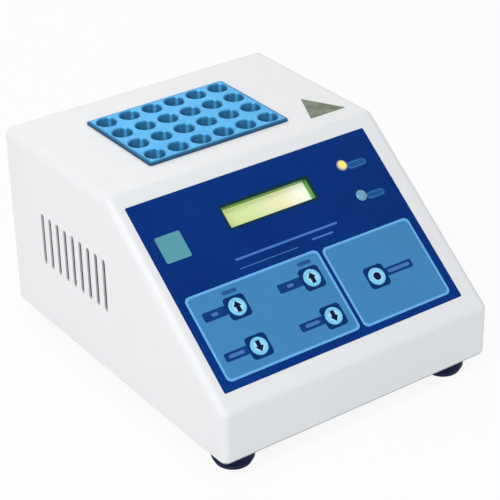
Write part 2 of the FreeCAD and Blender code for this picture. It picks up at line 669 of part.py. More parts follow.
def carrier_screw_places():
    dx = "(carrier_length / 2 - carrier_thick - carrier_foot / 2)"
    return [(f"{BLOCK_X} + {sx} * {dx}", f"{BLOCK_Y} + {sy} * carrier_screw_spacing / 2")
            for sx in (-1, 1) for sy in (-1, 1)]


def spacer_places():
    dx = "(power_board_length / 2 - spacer_inset)"
    dy = "(power_board_depth / 2 - spacer_inset)"
    return [(f"{BLOCK_X} + {sx} * {dx}", f"{POWER_BOARD_Y} + {sy} * {dy}") for sx in (-1, 1)
            for sy in (-1, 1)]


def make_base_plate():
    plate = place(rounded_block("base_sheet", "case_width - 2 * base_inset", "case_depth - 2 * base_inset",
                                "base_plate_thick", "edge_radius - base_inset"), "0", "0", "foot_height")
    flanges = [box("base_flange_%d" % i,
                   f"{side} * (case_width / 2 - wall - seat_gap - base_plate_thick / 2)", "0",
                   f"{FLOOR} - base_plate_thick / 2", "base_plate_thick", "flange_length",
                   "flange_height + base_plate_thick / 2") for i, side in enumerate((-1, 1))]
    holes = []
    for name, (x, y) in foot_places().items():
        holes.append(rod(name + "_bolt_hole", x, y, "foot_height - passing",
                         "foot_screw_diameter + 2 * fit_gap", "base_plate_thick + 2 * passing"))
    for i, (x, y) in enumerate(case_boss_places() + carrier_screw_places() + spacer_places()):
        holes.append(rod("base_hole_%d" % i, x, y, "foot_height - passing", "screw_diameter + 2 * fit_gap",
                         "base_plate_thick + 2 * passing"))
    slots = place(slot_row("base_slots", "0", "0", "vent_width", "vent_height", "4 * base_plate_thick",
                           "vent_count", "vent_pitch"), f"{BLOCK_X} - (vent_count - 1) * vent_pitch / 2",
                  f"{POWER_BOARD_Y} - vent_height / 2", "foot_height")
    return cut("base_plate", fuse("base_folded", [plate] + flanges), holes + [slots])


def make_foot(name, x, y):
    body = new_body(name)
    sketch = new_sketch(body, name + "_section", "XZ_Plane")
    hole = "foot_screw_diameter / 2 + fit_gap"
    head = "foot_head_diameter / 2 + foot_head_gap"
    outline(sketch, [(hole, "foot_height"), ("foot_diameter / 2", "foot_height"),
                     ("foot_diameter / 2", "foot_height - foot_straight"), ("foot_tip_diameter / 2", "0"),
                     (head, "0"), (head, "foot_head_sink"), (hole, "foot_head_sink")])
    turned = revolve(body, name + "_turned", sketch)
    doc.recompute()
    tip = number("foot_tip_diameter / 2")
    level = number("foot_height - foot_straight")

    def outer_ring(edge):
        box = edge.BoundBox
        return box.ZMax - box.ZMin < 1e-3 and box.XMax > tip - 1e-3 and box.ZMax < level + 1e-3
    round_edges(body, name + "_rounding", turned, outer_ring, "(foot_diameter - foot_tip_diameter) / 4")
    return place(body, x, y, "0")


def make_foot_screws():
    screws = []
    for name, (x, y) in foot_places().items():
        head = rod(name + "_head", x, y, "foot_head_sink - foot_head_height", "foot_head_diameter",
                   "foot_head_height")
        drive = hexagon(name + "_drive", x, y, "foot_head_sink - foot_head_height - passing",
                        "foot_drive_flats", "foot_drive_depth + passing")
        shank = rod(name + "_shank", x, y, "foot_head_sink", "foot_screw_diameter",
                    f"{FLOOR} + nut_height + foot_screw_end - foot_head_sink")
        screws.append(cut(name + "_screw", fuse(name + "_screw_blank", [head, shank]), [drive]))
    return group("foot_screws", screws)


def make_foot_nuts():
    nuts = []
    for name, (x, y) in foot_places().items():
        nut = hexagon(name + "_nut_blank", x, y, FLOOR, "nut_flats", "nut_height")
        bore = rod(name + "_nut_bore", x, y, f"{FLOOR} - passing", "foot_screw_diameter + 2 * fit_gap",
                   "nut_height + 2 * passing")
        nuts.append(cut(name + "_nut", nut, [bore]))
    return group("foot_nuts", nuts)


def pan_screw(name, x, y, seat, grip, down=False):
    """A small cross-head screw whose head sits on the level seat; its shank goes up, or down."""
    head_low = seat if down else f"({seat}) - screw_head_height"
    shank_low = f"({seat}) - ({grip})" if down else seat
    head = rod(name + "_head", x, y, head_low, "screw_head_diameter", "screw_head_height")
    shank = rod(name + "_shank", x, y, shank_low, "screw_diameter", grip)
    drive_low = f"({seat}) + screw_head_height / 2" if down else f"({seat}) - screw_head_height - passing"
    drive_height = "screw_head_height" if down else "screw_head_height / 2 + passing"
    arms = [box(name + "_arm_a", x, y, drive_low, "screw_cross_length", "screw_cross_width", drive_height),
            box(name + "_arm_b", x, y, drive_low, "screw_cross_width", "screw_cross_length", drive_height)]
    return cut(name, fuse(name + "_blank", [head, shank]), arms)


def screw_set(name, places, seat, grip, down=False):
    return group(name, [pan_screw("%s_%d" % (name, i), x, y, seat, grip, down)
                        for i, (x, y) in enumerate(places)])


# The block and what heats and holds it

def make_heating_block():
    body = new_body("block_solid")
    plan = new_sketch(body, "block_plan")
    rectangle(plan, "0", "0", "block_length", "block_depth")
    solid = pad(body, "block_pad", plan, "block_height")
    rounded = round_edges(body, "block_corners", solid, upright, "block_corner")
    top = number("block_height")
    bevel_edges(body, "block_bevel", rounded, lambda edge: edge.BoundBox.ZMin > top - 1e-3, "block_edge")
    doc.recompute()
    start = new_sketch(body, "well_place",
                       offset="placement(vector(0; 0; block_height); rotation(vector(0; 0; 1); 0))")
    circle(start, "-(well_columns - 1) * well_pitch / 2", "-(well_rows - 1) * well_row_pitch / 2",
           "well_diameter")
    doc.recompute()
    well = body.newObject("PartDesign::Hole", "well")
    well.Profile = start
    well.DepthType = "Dimension"
    well.HoleCutType = "Countersink"
    well.HoleCutCustomValues = True
    well.HoleCutCountersinkAngle = 90
    well.DrillPoint = "Angled"
    well.DrillPointAngle = 118
    bind(well, Diameter="well_diameter", Depth="well_depth", HoleCutDiameter="well_mouth")
    doc.recompute()
    wells = body.newObject("PartDesign::LinearPattern", "wells")
    wells.Originals = [well]
    wells.Direction = (start, ["H_Axis"])
    wells.Direction2 = (start, ["V_Axis"])
    wells.Mode = wells.Mode2 = "Extent"
    bind(wells, Length="(well_columns - 1) * well_pitch", Occurrences="well_columns",
         Length2="(well_rows - 1) * well_row_pitch", Occurrences2="well_rows")
    body.Tip = wells
    place(body, BLOCK_X, BLOCK_Y, BLOCK_LOW)
    probe = rod("probe_bore", BLOCK_X, f"{BLOCK_Y} + block_depth / 2 - probe_depth",
                f"{BLOCK_LOW} + probe_low", "probe_diameter + 2 * fit_gap", "probe_depth + passing",
                (1, 0, 0), -90)
    return cut("heating_block", body, [probe])


def make_block_gasket():
    lip_low = f"({TOP} - wall - gasket_foot_height)"
    foot = place(rounded_block("gasket_foot_ring", "block_length + 2 * gasket_foot",
                               "block_depth + 2 * gasket_foot", "gasket_foot_height",
                               "block_corner + gasket_foot"), BLOCK_X, BLOCK_Y, lip_low)
    lip = place(rounded_block("gasket_lip_ring", "block_length + 2 * gasket_width",
                              "block_depth + 2 * gasket_width", f"{BLOCK_TOP} - gasket_low - {lip_low}",
                              "block_corner + gasket_width"), BLOCK_X, BLOCK_Y, lip_low)
    hollow = place(rounded_block("gasket_hollow", "block_length + 2 * fit_gap", "block_depth + 2 * fit_gap",
                                 "4 * wall + gasket_foot_height + block_proud", "block_corner"),
                   BLOCK_X, BLOCK_Y, f"{lip_low} - wall")
    return cut("block_gasket", fuse("gasket_blank", [foot, lip]), [hollow])


def make_insulation_jacket():
    height = f"({TOP} - wall - gasket_foot_height - {HEATER_LOW})"
    outer = place(rounded_block("jacket_outer", "block_length + 2 * jacket_wall",
                                "block_depth + 2 * jacket_wall", height, "jacket_wall"), BLOCK_X, BLOCK_Y,
                  HEATER_LOW)
    inner = box("jacket_inner", BLOCK_X, BLOCK_Y, f"{HEATER_LOW} - passing", "block_length + 2 * seat_gap",
                "block_depth + 2 * seat_gap", f"{height} + 2 * passing")
    probe = rod("jacket_probe_hole", BLOCK_X, BLOCK_Y, f"{BLOCK_LOW} + probe_low",
                "probe_diameter + 2 * seat_gap", "block_depth", (1, 0, 0), -90)
    return cut("insulation_jacket", outer, [inner, probe])


def make_block_carrier():
    """A bracket folded from one sheet: a flat top, two legs and two turned-in feet."""
    body = new_body("carrier_folded")
    sketch = new_sketch(body, "carrier_section", "XZ_Plane")
    half = "carrier_length / 2"
    step = "carrier_thick"
    foot = f"({half} - {step} - carrier_foot)"
    height = f"({HEATER_LOW} - {FLOOR})"
    outline(sketch, [
        (f"-{half}", "0"), (f"-{foot}", "0"), (f"-{foot}", step), (f"-({half} - {step})", step),
        (f"-({half} - {step})", f"{height} - {step}"), (f"{half} - {step}", f"{height} - {step}"),
        (f"{half} - {step}", step), (foot, step), (foot, "0"), (half, "0"), (half, height),
        (f"-{half}", height)])
    pad(body, "carrier_sheet", sketch, "carrier_depth", symmetric=True)
    place(body, BLOCK_X, BLOCK_Y, FLOOR)
    holes = [rod("cutout_hole", BLOCK_X, BLOCK_Y, f"{HEATER_LOW} - 2 * carrier_thick",
                 "cutout_diameter + 2 * seat_gap", "3 * carrier_thick")]
    for i, (x, y) in enumerate(carrier_screw_places()):
        holes.append(rod("carrier_hole_%d" % i, x, y, f"{FLOOR} - passing", "screw_diameter + 2 * fit_gap",
                         "carrier_thick + 2 * passing"))
    for i, x in enumerate(heater_lead_sides()):
        holes.append(rod("heater_lead_hole_%d" % i, x, BLOCK_Y, f"{HEATER_LOW} - 2 * carrier_thick",
                         "lead_hole", "3 * carrier_thick"))
    return cut("block_carrier", body, holes)


def make_thermal_cutout():
    low = f"({HEATER_LOW} - cutout_height)"
    can = rod("cutout_can", BLOCK_X, BLOCK_Y, low, "cutout_diameter", "cutout_height")
    tabs = [box("cutout_tab_%d" % i, f"{BLOCK_X} + {side} * cutout_tab_side", BLOCK_Y, low,
                "cutout_tab_length", "cutout_tab_width", "tab_thick") for i, side in enumerate((-1, 1))]
    return fuse("thermal_cutout", [can] + tabs)


def make_temperature_sensor():
    start = f"{BLOCK_Y} + block_depth / 2 - probe_depth"
    level = f"{BLOCK_LOW} + probe_low"
    sheath = rod("probe_sheath", BLOCK_X, start, level, "probe_diameter", "probe_depth + probe_reach",
                 (1, 0, 0), -90)
    collar = rod("probe_collar", BLOCK_X, f"{BLOCK_Y} + block_depth / 2 + jacket_wall + seat_gap", level,
                 "probe_collar_diameter", "probe_reach - jacket_wall", (1, 0, 0), -90)
    lead_y = f"({BLOCK_Y} + block_depth / 2 + probe_reach - lead_diameter / 2)"
    wire = lead("probe_lead", (BLOCK_X, lead_y, level),
                (BLOCK_X, f"({POWER_BOARD_END} - probe_lead_back)", POWER_BOARD_TOP), "probe_lead_drop",
                "lead_diameter")
    return fuse("temperature_sensor", [sheath, collar, wire])


# The panel: film, keys, lamps, display and their board

def make_panel_overlay():
    film = on_panel(rounded_block("film_sheet", FILM_LENGTH, FILM_RISE, "overlay_thick", "overlay_corner"),
                    FILM_X, FILM_Y, "-overlay_recess")
    low = "-overlay_recess - passing"
    through = "overlay_thick + 2 * passing"
    holes = [box("film_window", WINDOW_X, WINDOW_Y, low, "window_length", "window_rise", through)]
    for name, (x, y) in KEYS.items():
        holes.append(rod(name + "_film_hole", x, y, low, "key_diameter + 2 * slide_gap", through))
    for name, (x, y) in LAMPS.items():
        holes.append(rod(name + "_film_hole", x, y, low, "lamp_diameter + 2 * fit_gap", through))
    return cut("panel_overlay", film, [put(fuse("film_holes", holes), PANEL)])


def make_key(name, x, y):
    body = new_body(name)
    sketch = new_sketch(body, name + "_section", "XZ_Plane")
    top = f"({FILM_TOP} + key_proud)"
    flange_top = "(-wall - seat_gap)"
    stem_low = f"(-{CONTROL_DEPTH} + switch_height + plunger_height + key_travel + fit_gap)"
    dish = "(key_diameter / 2 - key_rim)"
    outline(sketch, [
        ("0", stem_low), ("key_stem_diameter / 2", stem_low),
        ("key_stem_diameter / 2", f"{flange_top} - key_flange_thick"),
        ("key_diameter / 2 + key_flange", f"{flange_top} - key_flange_thick"),
        ("key_diameter / 2 + key_flange", flange_top), ("key_diameter / 2", flange_top),
        ("key_diameter / 2", f"{top} - key_dish"), ("key_diameter / 2 - key_dish", top),
        (f"{dish} + key_dish", top), (dish, f"{top} - key_dish"), ("0", f"{top} - key_dish")])
    revolve(body, name + "_turned", sketch)
    return on_panel(body, x, y)


def make_key_switch(name, x, y):
    low = f"-{CONTROL_DEPTH}"
    case = box(name + "_case", x, y, low, "switch_side", "switch_side", "switch_height")
    plunger = rod(name + "_plunger", x, y, f"{low} + switch_height / 2", "plunger_diameter",
                  "switch_height / 2 + plunger_height")
    return on_panel(fuse(name, [case, plunger]))


def make_lamp(name, x, y):
    low = "(-wall - key_flange_thick - seat_gap)"
    stem = rod(name + "_stem", x, y, low, "lamp_diameter", f"{FILM_TOP} - {low}")
    flange = rod(name + "_flange", x, y, low, "lamp_diameter + 2 * frame_wall", "key_flange_thick")
    dome = doc.addObject("Part::Ellipsoid", name + "_dome")
    bind(dome, Radius1="lamp_proud", Radius2="lamp_diameter / 2")
    place(dome, x, y, FILM_TOP)
    legs = [box(name + "_leg_%d" % i, f"{x} + {side} * leg_pitch / 2", y, f"-{CONTROL_DEPTH}", "tab_thick",
                "tab_thick", f"{CONTROL_DEPTH} + {low} + overlap") for i, side in enumerate((-1, 1))]
    return on_panel(fuse(name, [stem, flange, dome] + legs))


def make_display_frame():
    outer = box("frame_outer", WINDOW_X, WINDOW_Y, "-window_depth", "window_length + 2 * frame_wall",
                "window_rise + 2 * frame_wall", "window_depth - overlay_recess")
    inner = box("frame_inner", WINDOW_X, WINDOW_Y, "-window_depth - passing", "window_length", "window_rise",
                "window_depth + 2 * passing")
    return on_panel(cut("display_frame", outer, [inner]))


def make_display_glass():
    glass = box("display_glass", "0", "0", "0", "window_length + frame_wall", "window_rise + frame_wall",
                "glass_thick")
    return on_panel(glass, f"{WINDOW_X} - (window_length + frame_wall) / 2",
                    f"{WINDOW_Y} - (window_rise + frame_wall) / 2", "-window_depth - glass_thick")


def make_display_module():
    board = box("display_board", WINDOW_X, WINDOW_Y, f"-{CONTROL_DEPTH}", "display_board_length",
                "display_board_rise", "board_thick")
    can = box("display_can", WINDOW_X, WINDOW_Y, "-window_depth - display_height", "display_length",
              "display_rise", "display_height")
    seat = box("display_seat", WINDOW_X, WINDOW_Y, "-window_depth - glass_thick",
               "window_length + frame_wall", "window_rise + frame_wall", "2 * glass_thick")
    return on_panel(cut("display_module", fuse("display_blank", [board, can]), [seat]))


def make_control_board():
    low = f"(-{CONTROL_DEPTH} - board_thick)"
    sheet_box = box("control_sheet", BOARD_X, BOARD_Y, low, "control_board_length", BOARD_RISE,
                    "board_thick")
    holes = [rod("control_hole_%d" % i, x, y, f"{low} - passing", "screw_diameter + 2 * fit_gap",
                 "board_thick + 2 * passing")
             for i, (x, y) in enumerate(board_corners())]
    return on_panel(cut("control_board", sheet_box, holes))


def make_foil_triangle():
    body = new_body("foil_triangle")
    sketch = new_sketch(body, "foil_outline")
    outline(sketch, [("-triangle_side / 2", "0"), ("triangle_side / 2", "0"),
                     ("-triangle_lean", "triangle_rise")])
    pad(body, "foil_sheet", sketch, "triangle_thick")
    return place(body, f"-{LEFT} - triangle_right", f"{BACK} - triangle_back", TOP)


# Power supply on the base plate

def make_power_board():
    plate = box("power_sheet", BLOCK_X, POWER_BOARD_Y, POWER_BOARD_LOW, "power_board_length",
                "power_board_depth", "board_thick")
    holes = [rod("power_hole_%d" % i, x, y, f"{POWER_BOARD_LOW} - passing", "screw_diameter + 2 * fit_gap",
                 "board_thick + 2 * passing") for i, (x, y) in enumerate(spacer_places())]
    return cut("power_board", plate, holes)


def make_board_spacers():
    spacers = []
    for i, (x, y) in enumerate(spacer_places()):
        post = hexagon("spacer_post_%d" % i, x, y, FLOOR, "spacer_diameter", "spacer_height")
        bore = rod("spacer_bore_%d" % i, x, y, f"{FLOOR} - passing", "screw_diameter + 2 * fit_gap",
                   "spacer_height + 2 * passing")
        spacers.append(cut("spacer_%d" % i, post, [bore]))
    return group("board_spacers", spacers)


def make_transformer():
    low = POWER_BOARD_TOP
    gap = "seat_gap"
    window = "((core_length - 4 * core_leg) / 2)"
    window_height = "(core_height - 2 * core_leg)"
    blank = box("core_blank", CORE_X, POWER_BOARD_Y, low, "core_length", "core_depth", "core_height")
    windows = [box("core_window_%d" % i, f"{CORE_X} + {side} * (core_leg + {window} / 2)", POWER_BOARD_Y,
                   f"{low} + core_leg", window, "2 * core_depth", window_height)
               for i, side in enumerate((-1, 1))]
    core = cut("transformer_core", blank, windows)
    winding = box("coil_blank", CORE_X, POWER_BOARD_Y, f"{low} + core_leg + {gap}",
                  f"2 * core_leg + 2 * {window} - 2 * {gap}", "coil_depth", f"{window_height} - 2 * {gap}")
    middle = box("coil_middle", CORE_X, POWER_BOARD_Y, low, f"2 * core_leg + 2 * {gap}",
                 f"core_depth + 2 * {gap}", "core_height")
    coil = cut("transformer_coil", winding, [middle])
    return core, coil


def make_heat_sink():
    y = f"({POWER_BOARD_Y} - sink_front)"
    plate = box("sink_plate", SINK_X, f"{y} - sink_base / 2", POWER_BOARD_TOP, "sink_length", "sink_base",
                "sink_height")
    fins = []
    count = int(number("sink_fin_count"))
    for i in range(count):
        share = "(%d / (sink_fin_count - 1) - 0.5)" % i
        fins.append(box("sink_fin_%d" % i, f"{SINK_X} + (sink_length - sink_fin_thick) * {share}",
                        f"{y} + (sink_fin - overlap) / 2", POWER_BOARD_TOP, "sink_fin_thick",
                        "sink_fin + overlap", "sink_height"))
    sink = fuse("heat_sink", [plate] + fins)
    triac = box("triac_case", SINK_X, f"{y} - sink_base - triac_thick / 2", f"{POWER_BOARD_TOP} + triac_lift",
                "triac_width", "triac_thick", "triac_height")
    legs = [box("triac_leg_%d" % i, f"{SINK_X} + {side} * leg_pitch", f"{y} - sink_base - triac_thick / 2",
                POWER_BOARD_TOP, "tab_thick", "tab_thick", "triac_lift + overlap")
            for i, side in enumerate((-1, 0, 1))]
    return sink, fuse("power_triac", [triac] + legs)


def make_terminal_block():
    case = box("terminal_case", SINK_X, TERMINAL_Y, POWER_BOARD_TOP, "terminal_length", "terminal_depth",
               "terminal_height")
    wells = [rod("terminal_well_%d" % i, f"{SINK_X} + {side} * terminal_pitch", TERMINAL_Y,
                 f"{POWER_BOARD_TOP} + terminal_height / 2", "terminal_well", "terminal_height")
             for i, side in enumerate((-1, 0, 1))]
    return cut("terminal_block", case, wells)


# The connector bay in the back

def inlet_screw_places():
    return [(f"-inlet_side + {side} * inlet_screw_spacing / 2", "0") for side in (-1, 1)]


def make_rear_panel():
    plate = box("rear_sheet", "0", "0", "-rear_panel_thick", "bay_length + 2 * rear_panel_border",
                "bay_height + 2 * rear_panel_border", "rear_panel_thick")
    low = "-2 * rear_panel_thick"
    deep = "3 * rear_panel_thick"
    holes = [box("inlet_cut", "-inlet_side", "0", low, "inlet_body_length + 2 * fit_gap",
                 "inlet_body_height + 2 * fit_gap", deep),
             box("rocker_cut", "rocker_side", "0", low, "rocker_body_width + 2 * fit_gap",
                 "rocker_body_height + 2 * fit_gap", deep),
             rod("fuse_cut", "0", "0", low, "fuse_body_diameter + 2 * fit_gap", deep)]
    for i, (x, y) in enumerate(rear_panel_corners() + inlet_screw_places()):
        holes.append(rod("rear_hole_%d" % i, x, y, low, "screw_diameter + 2 * fit_gap", deep))
    return on_rear(cut("rear_panel", plate, holes))


def inlet_pin_places():
    return [("-inlet_side - pin_spacing", "-pin_offset"), ("-inlet_side", "pin_offset"),
            ("-inlet_side + pin_spacing", "-pin_offset")]


def make_inlet_socket():
    flange = rounded_block("inlet_flange", "inlet_flange_length", "inlet_flange_height", "inlet_flange_thick",
                           "inlet_flange_thick")
    place(flange, "-inlet_side", "0", "0")
    case = box("inlet_case", "-inlet_side", "0", "-inlet_body_depth", "inlet_body_length",
               "inlet_body_height", "inlet_body_depth + inlet_flange_thick / 2")
    hollow = new_body("inlet_hollow")
    sketch = new_sketch(hollow, "inlet_hollow_outline")
    half = "inlet_socket_length / 2"
    high = "inlet_socket_height / 2"
    corner = "inlet_socket_corner"
    outline(sketch, [(f"-{half}", f"-{high}"), (half, f"-{high}"), (half, f"{high} - {corner}"),
                     (f"{half} - {corner}", high), (f"{corner} - {half}", high),
                     (f"-{half}", f"{high} - {corner}")])
    pad(hollow, "inlet_hollow_pad", sketch, "inlet_socket_depth + passing")
    place(hollow, "-inlet_side", "0", "inlet_flange_thick - inlet_socket_depth")
    tools = [hollow]
    for i, (x, y) in enumerate(inlet_pin_places()):
        tools.append(box("pin_way_%d" % i, x, y, "-2 * inlet_body_depth", "pin_thick + 2 * fit_gap",
                         "pin_width + 2 * fit_gap", "2 * inlet_body_depth"))
    for i, (x, y) in enumerate(inlet_screw_places()):
        tools.append(rod("inlet_hole_%d" % i, x, y, "-passing", "screw_diameter + 2 * fit_gap",
                         "inlet_flange_thick + 2 * passing"))
    return on_rear(cut("inlet_socket", fuse("inlet_blank", [flange, case]), tools))


def make_inlet_pins():
    low = "(-inlet_body_depth - pin_tail)"
    high = "(inlet_flange_thick - inlet_socket_depth + pin_length)"
    return on_rear(group("inlet_pins", [box("inlet_pin_%d" % i, x, y, low, "pin_thick", "pin_width",
                                            f"{high} - {low}")
                                        for i, (x, y) in enumerate(inlet_pin_places())]))


def make_switch_housing():
    bezel = rounded_block("rocker_bezel", "rocker_bezel_width", "rocker_bezel_height", "rocker_bezel_thick",
                          "rocker_bezel_thick")
    place(bezel, "rocker_side", "0", "0")
    case = box("rocker_case", "rocker_side", "0", "-rocker_body_depth", "rocker_body_width",
               "rocker_body_height", "rocker_body_depth + rocker_bezel_thick / 2")
    well = box("rocker_well", "rocker_side", "0", f"{ROCKER_Z} - rocker_radius - 2 * slide_gap",
               "rocker_width + 2 * slide_gap", "2 * rocker_radius + 2 * slide_gap", "3 * rocker_radius")
    pins = rod("rocker_pin_way", "rocker_side - rocker_width", "0", ROCKER_Z,
               "rocker_pin_diameter + 2 * fit_gap", "2 * rocker_width", (0, 1, 0), 90)
    tabs = [box("rocker_tab_%d" % i, "rocker_side", f"{side} * rocker_tab_spacing / 2",
                "-rocker_body_depth - pin_tail", "tab_thick", "pin_width", "pin_tail + overlap")
            for i, side in enumerate((-1, 1))]
    return on_rear(fuse("switch_housing", [cut("rocker_case_open", fuse("rocker_case_blank", [bezel, case]),
                                               [well, pins])] + tabs))


def make_switch_rocker():
    body = new_body("rocker_body")
    sketch = new_sketch(body, "rocker_section", "YZ_Plane")
    reach = ("(sqrt(rocker_radius ^ 2 - (rocker_crown * cos(rocker_angle)) ^ 2)"
             " - rocker_crown * sin(rocker_angle))")
    end_x = f"{reach} * cos(rocker_angle)"
    end_y = f"rocker_crown + {reach} * sin(rocker_angle)"
    x = number(end_x)
    y = number(end_y)
    radius = number("rocker_radius")
    middle = V(0, number("rocker_crown"), 0)
    rise = math.atan2(y, x)
    arc = sketch.addGeometry(Part.ArcOfCircle(Part.Circle(V(0, 0, 0), V(0, 0, 1), radius),
                                              math.pi - rise, 2 * math.pi + rise))
    right = sketch.addGeometry(Part.LineSegment(V(x, y, 0), middle))
    left = sketch.addGeometry(Part.LineSegment(middle, V(-x, y, 0)))
    for a, b in ((arc, right), (right, left), (left, arc)):
        sketch.addConstraint(Sketcher.Constraint("Coincident", a, 2, b, 1))
    sketch.addConstraint(Sketcher.Constraint("Coincident", arc, 3, -1, 1))
    sketch.addConstraint(Sketcher.Constraint("PointOnObject", right, 2, -2))
    constrain(sketch, "DistanceY", (-1, 1, right, 2), "rocker_crown")
    constrain(sketch, "DistanceX", (-1, 1, right, 1), end_x)
    constrain(sketch, "Radius", (arc,), "rocker_radius")
    constrain(sketch, "DistanceX", (-1, 1, left, 2), f"-({end_x})")
    pad(body, "rocker_pad", sketch, "rocker_width", symmetric=True)
    pin = rod("rocker_pin", "-rocker_width / 2 - rocker_pin_length", "0", "0", "rocker_pin_diameter",
              "rocker_width + 2 * rocker_pin_length", (0, 1, 0), 90)
    return on_rear(fuse("switch_rocker", [body, pin]), "rocker_side", "0", ROCKER_Z, "rocker_angle")


def make_fuse_holder():
    bottom = "(fuse_flange_thick - fuse_stem - fuse_length)"
    flange = rod("fuse_flange", "0", "0", "0", "fuse_flange_diameter", "fuse_flange_thick")
    case = rod("fuse_case", "0", "0", "-fuse_body_depth", "fuse_body_diameter", "fuse_body_depth + overlap")
    end_tab = box("fuse_end_tab", "0", "0", "-fuse_body_depth - fuse_tab_length", "pin_width", "tab_thick",
                  "fuse_tab_length + overlap")
    side_tab = box("fuse_side_tab", "0", "-(fuse_body_diameter + fuse_tab_length - overlap) / 2",
                   "-fuse_tab_back - pin_width / 2", "tab_thick", "fuse_tab_length + overlap", "pin_width")
    bore = rod("fuse_bore_tool", "0", "0", bottom, "fuse_bore", "2 * fuse_length")
    holder = on_rear(cut("fuse_holder", fuse("fuse_blank", [flange, case, end_tab, side_tab]), [bore]))
    nut = hexagon("fuse_nut_blank", "0", "0", "-rear_panel_thick - fuse_nut_thick", "fuse_nut_flats",
                  "fuse_nut_thick")
    nut_bore = rod("fuse_nut_bore", "0", "0", "-2 * fuse_nut_flats", "fuse_body_diameter + 2 * fit_gap",
                   "3 * fuse_nut_flats")
    fuse_nut = on_rear(cut("fuse_nut", nut, [nut_bore]))
    knob = rod("fuse_knob", "0", "0", "fuse_flange_thick", "fuse_cap_diameter", "fuse_cap_height")
    stem = rod("fuse_stem_rod", "0", "0", "fuse_flange_thick - fuse_stem", "fuse_bore - 2 * fit_gap",
               "fuse_stem + overlap")
    slot = box("fuse_slot_tool", "0", "0", "fuse_flange_thick + fuse_cap_height - fuse_slot", "fuse_slot",
               "2 * fuse_cap_diameter", "2 * fuse_slot")
    cap = on_rear(cut("fuse_cap", fuse("fuse_cap_blank", [knob, stem]), [slot]))
    glass = on_rear(fuse("glass_fuse", [
        rod("fuse_tube", "0", "0", bottom, "fuse_diameter", "fuse_length"),
        rod("fuse_end_low", "0", "0", bottom, "fuse_diameter + 2 * fit_gap", "fuse_end_length"),
        rod("fuse_end_high", "0", "0", f"{bottom} + fuse_length - fuse_end_length",
            "fuse_diameter + 2 * fit_gap", "fuse_end_length")]))
    return holder, fuse_nut, cap, glass


# Wires and the flat cable

def route(name, points, bend):
    """A path of straight runs joined by tangent arcs, through points given as pairs of expressions."""
    path = doc.addObject("Sketcher::SketchObject", name)
    corners = [V(number(x), number(y), 0) for x, y in points]
    radius = number(bend)
    begin = corners[0]
    joins = []
    for before, corner, after in zip(corners, corners[1:], corners[2:]):
        back = (before - corner).normalize()
        ahead = (after - corner).normalize()
        half = back.getAngle(ahead) / 2
        leaves = corner + back * (radius / math.tan(half))
        arrives = corner + ahead * (radius / math.tan(half))
        centre = corner + (back + ahead).normalize() * (radius / math.sin(half))
        turns_left = back.cross(ahead).z < 0
        low, high = (leaves, arrives) if turns_left else (arrives, leaves)
        low_angle = math.atan2(low.y - centre.y, low.x - centre.x)
        high_angle = math.atan2(high.y - centre.y, high.x - centre.x)
        if high_angle < low_angle:
            high_angle += 2 * math.pi
        run = path.addGeometry(Part.LineSegment(begin, leaves), False)
        ring = Part.Circle(centre, V(0, 0, 1), radius)
        arc = path.addGeometry(Part.ArcOfCircle(ring, low_angle, high_angle), False)
        joins.append((run, arc, turns_left))
        begin = arrives
    last = path.addGeometry(Part.LineSegment(begin, corners[-1]), False)
    for (run, arc, turns_left), corner, (x, y) in zip(joins, corners[1:], points[1:]):
        near, far = (1, 2) if turns_left else (2, 1)
        path.addConstraint(Sketcher.Constraint("Tangent", run, 2, arc, near))
        path.addConstraint(Sketcher.Constraint("Tangent", arc, far, arc + 1, 1))
        constrain(path, "Radius", (arc,), bend)
        meeting = path.addGeometry(Part.Point(corner), True)
        path.addConstraint(Sketcher.Constraint("PointOnObject", meeting, 1, run))
        path.addConstraint(Sketcher.Constraint("PointOnObject", meeting, 1, arc + 1))
        constrain(path, "DistanceX", (-1, 1, meeting, 1), x)
        constrain(path, "DistanceY", (-1, 1, meeting, 1), y)
    for (line, end), (x, y) in (((0, 1), points[0]), ((last, 2), points[-1])):
        constrain(path, "DistanceX", (-1, 1, line, end), x)
        constrain(path, "DistanceY", (-1, 1, line, end), y)
    return path


def sweep(name, section, path):
    obj = doc.addObject("Part::Sweep", name)
    obj.Sections = [section]
    obj.Spine = (path, [])
    obj.Solid = True
    return obj


def lead(name, start, end, drop, diameter):
    """A wire that leaves its start upright, crosses level, and comes upright to its end."""
    (x0, y0, z0), (x1, y1, z1) = start, end
    across = f"hypot({x1} - {x0}; {y1} - {y0})"
    level = f"({z0} - {drop})"
    path = route(name + "_path", [("0", z0), ("0", level), (across, level), (across, z1)], "wire_bend")
    put(path, f"placement(vector({x0}; {y0}; 0); rotation(vector(0; 0; 1); atan2({y1} - {y0}; {x1} - {x0})))"
              " * placement(vector(0; 0; 0); rotation(vector(1; 0; 0); 90))")
    ring = doc.addObject("Part::Circle", name + "_ring")
    bind(ring, Radius=f"{diameter} / 2")
    place(ring, x0, y0, z0)
    return sweep(name, ring, path)


def heater_lead_sides():
    return [f"({SINK_X} + {side} * terminal_pitch)" for side in (0, 1)]


def make_heater_leads():
    floor = f"({POWER_BOARD_TOP} + terminal_height / 2)"
    return group("heater_leads", [lead("heater_lead_%d" % i, (x, BLOCK_Y, HEATER_LOW), (x, TERMINAL_Y, floor),
                                       "heater_lead_drop", "wire_diameter")
                                  for i, x in enumerate(heater_lead_sides())])


def make_cutout_leads():
    leads = []
    for i, side in enumerate((-1, 1)):
        x = f"({BLOCK_X} + {side} * cutout_lead_side)"
        leads.append(lead("cutout_lead_%d" % i, (x, BLOCK_Y, f"({HEATER_LOW} - cutout_height)"),
                          (x, f"({POWER_BOARD_END} - cutout_lead_back)", POWER_BOARD_TOP), "cutout_lead_drop",
                          "lead_diameter"))
    return group("cutout_leads", leads)


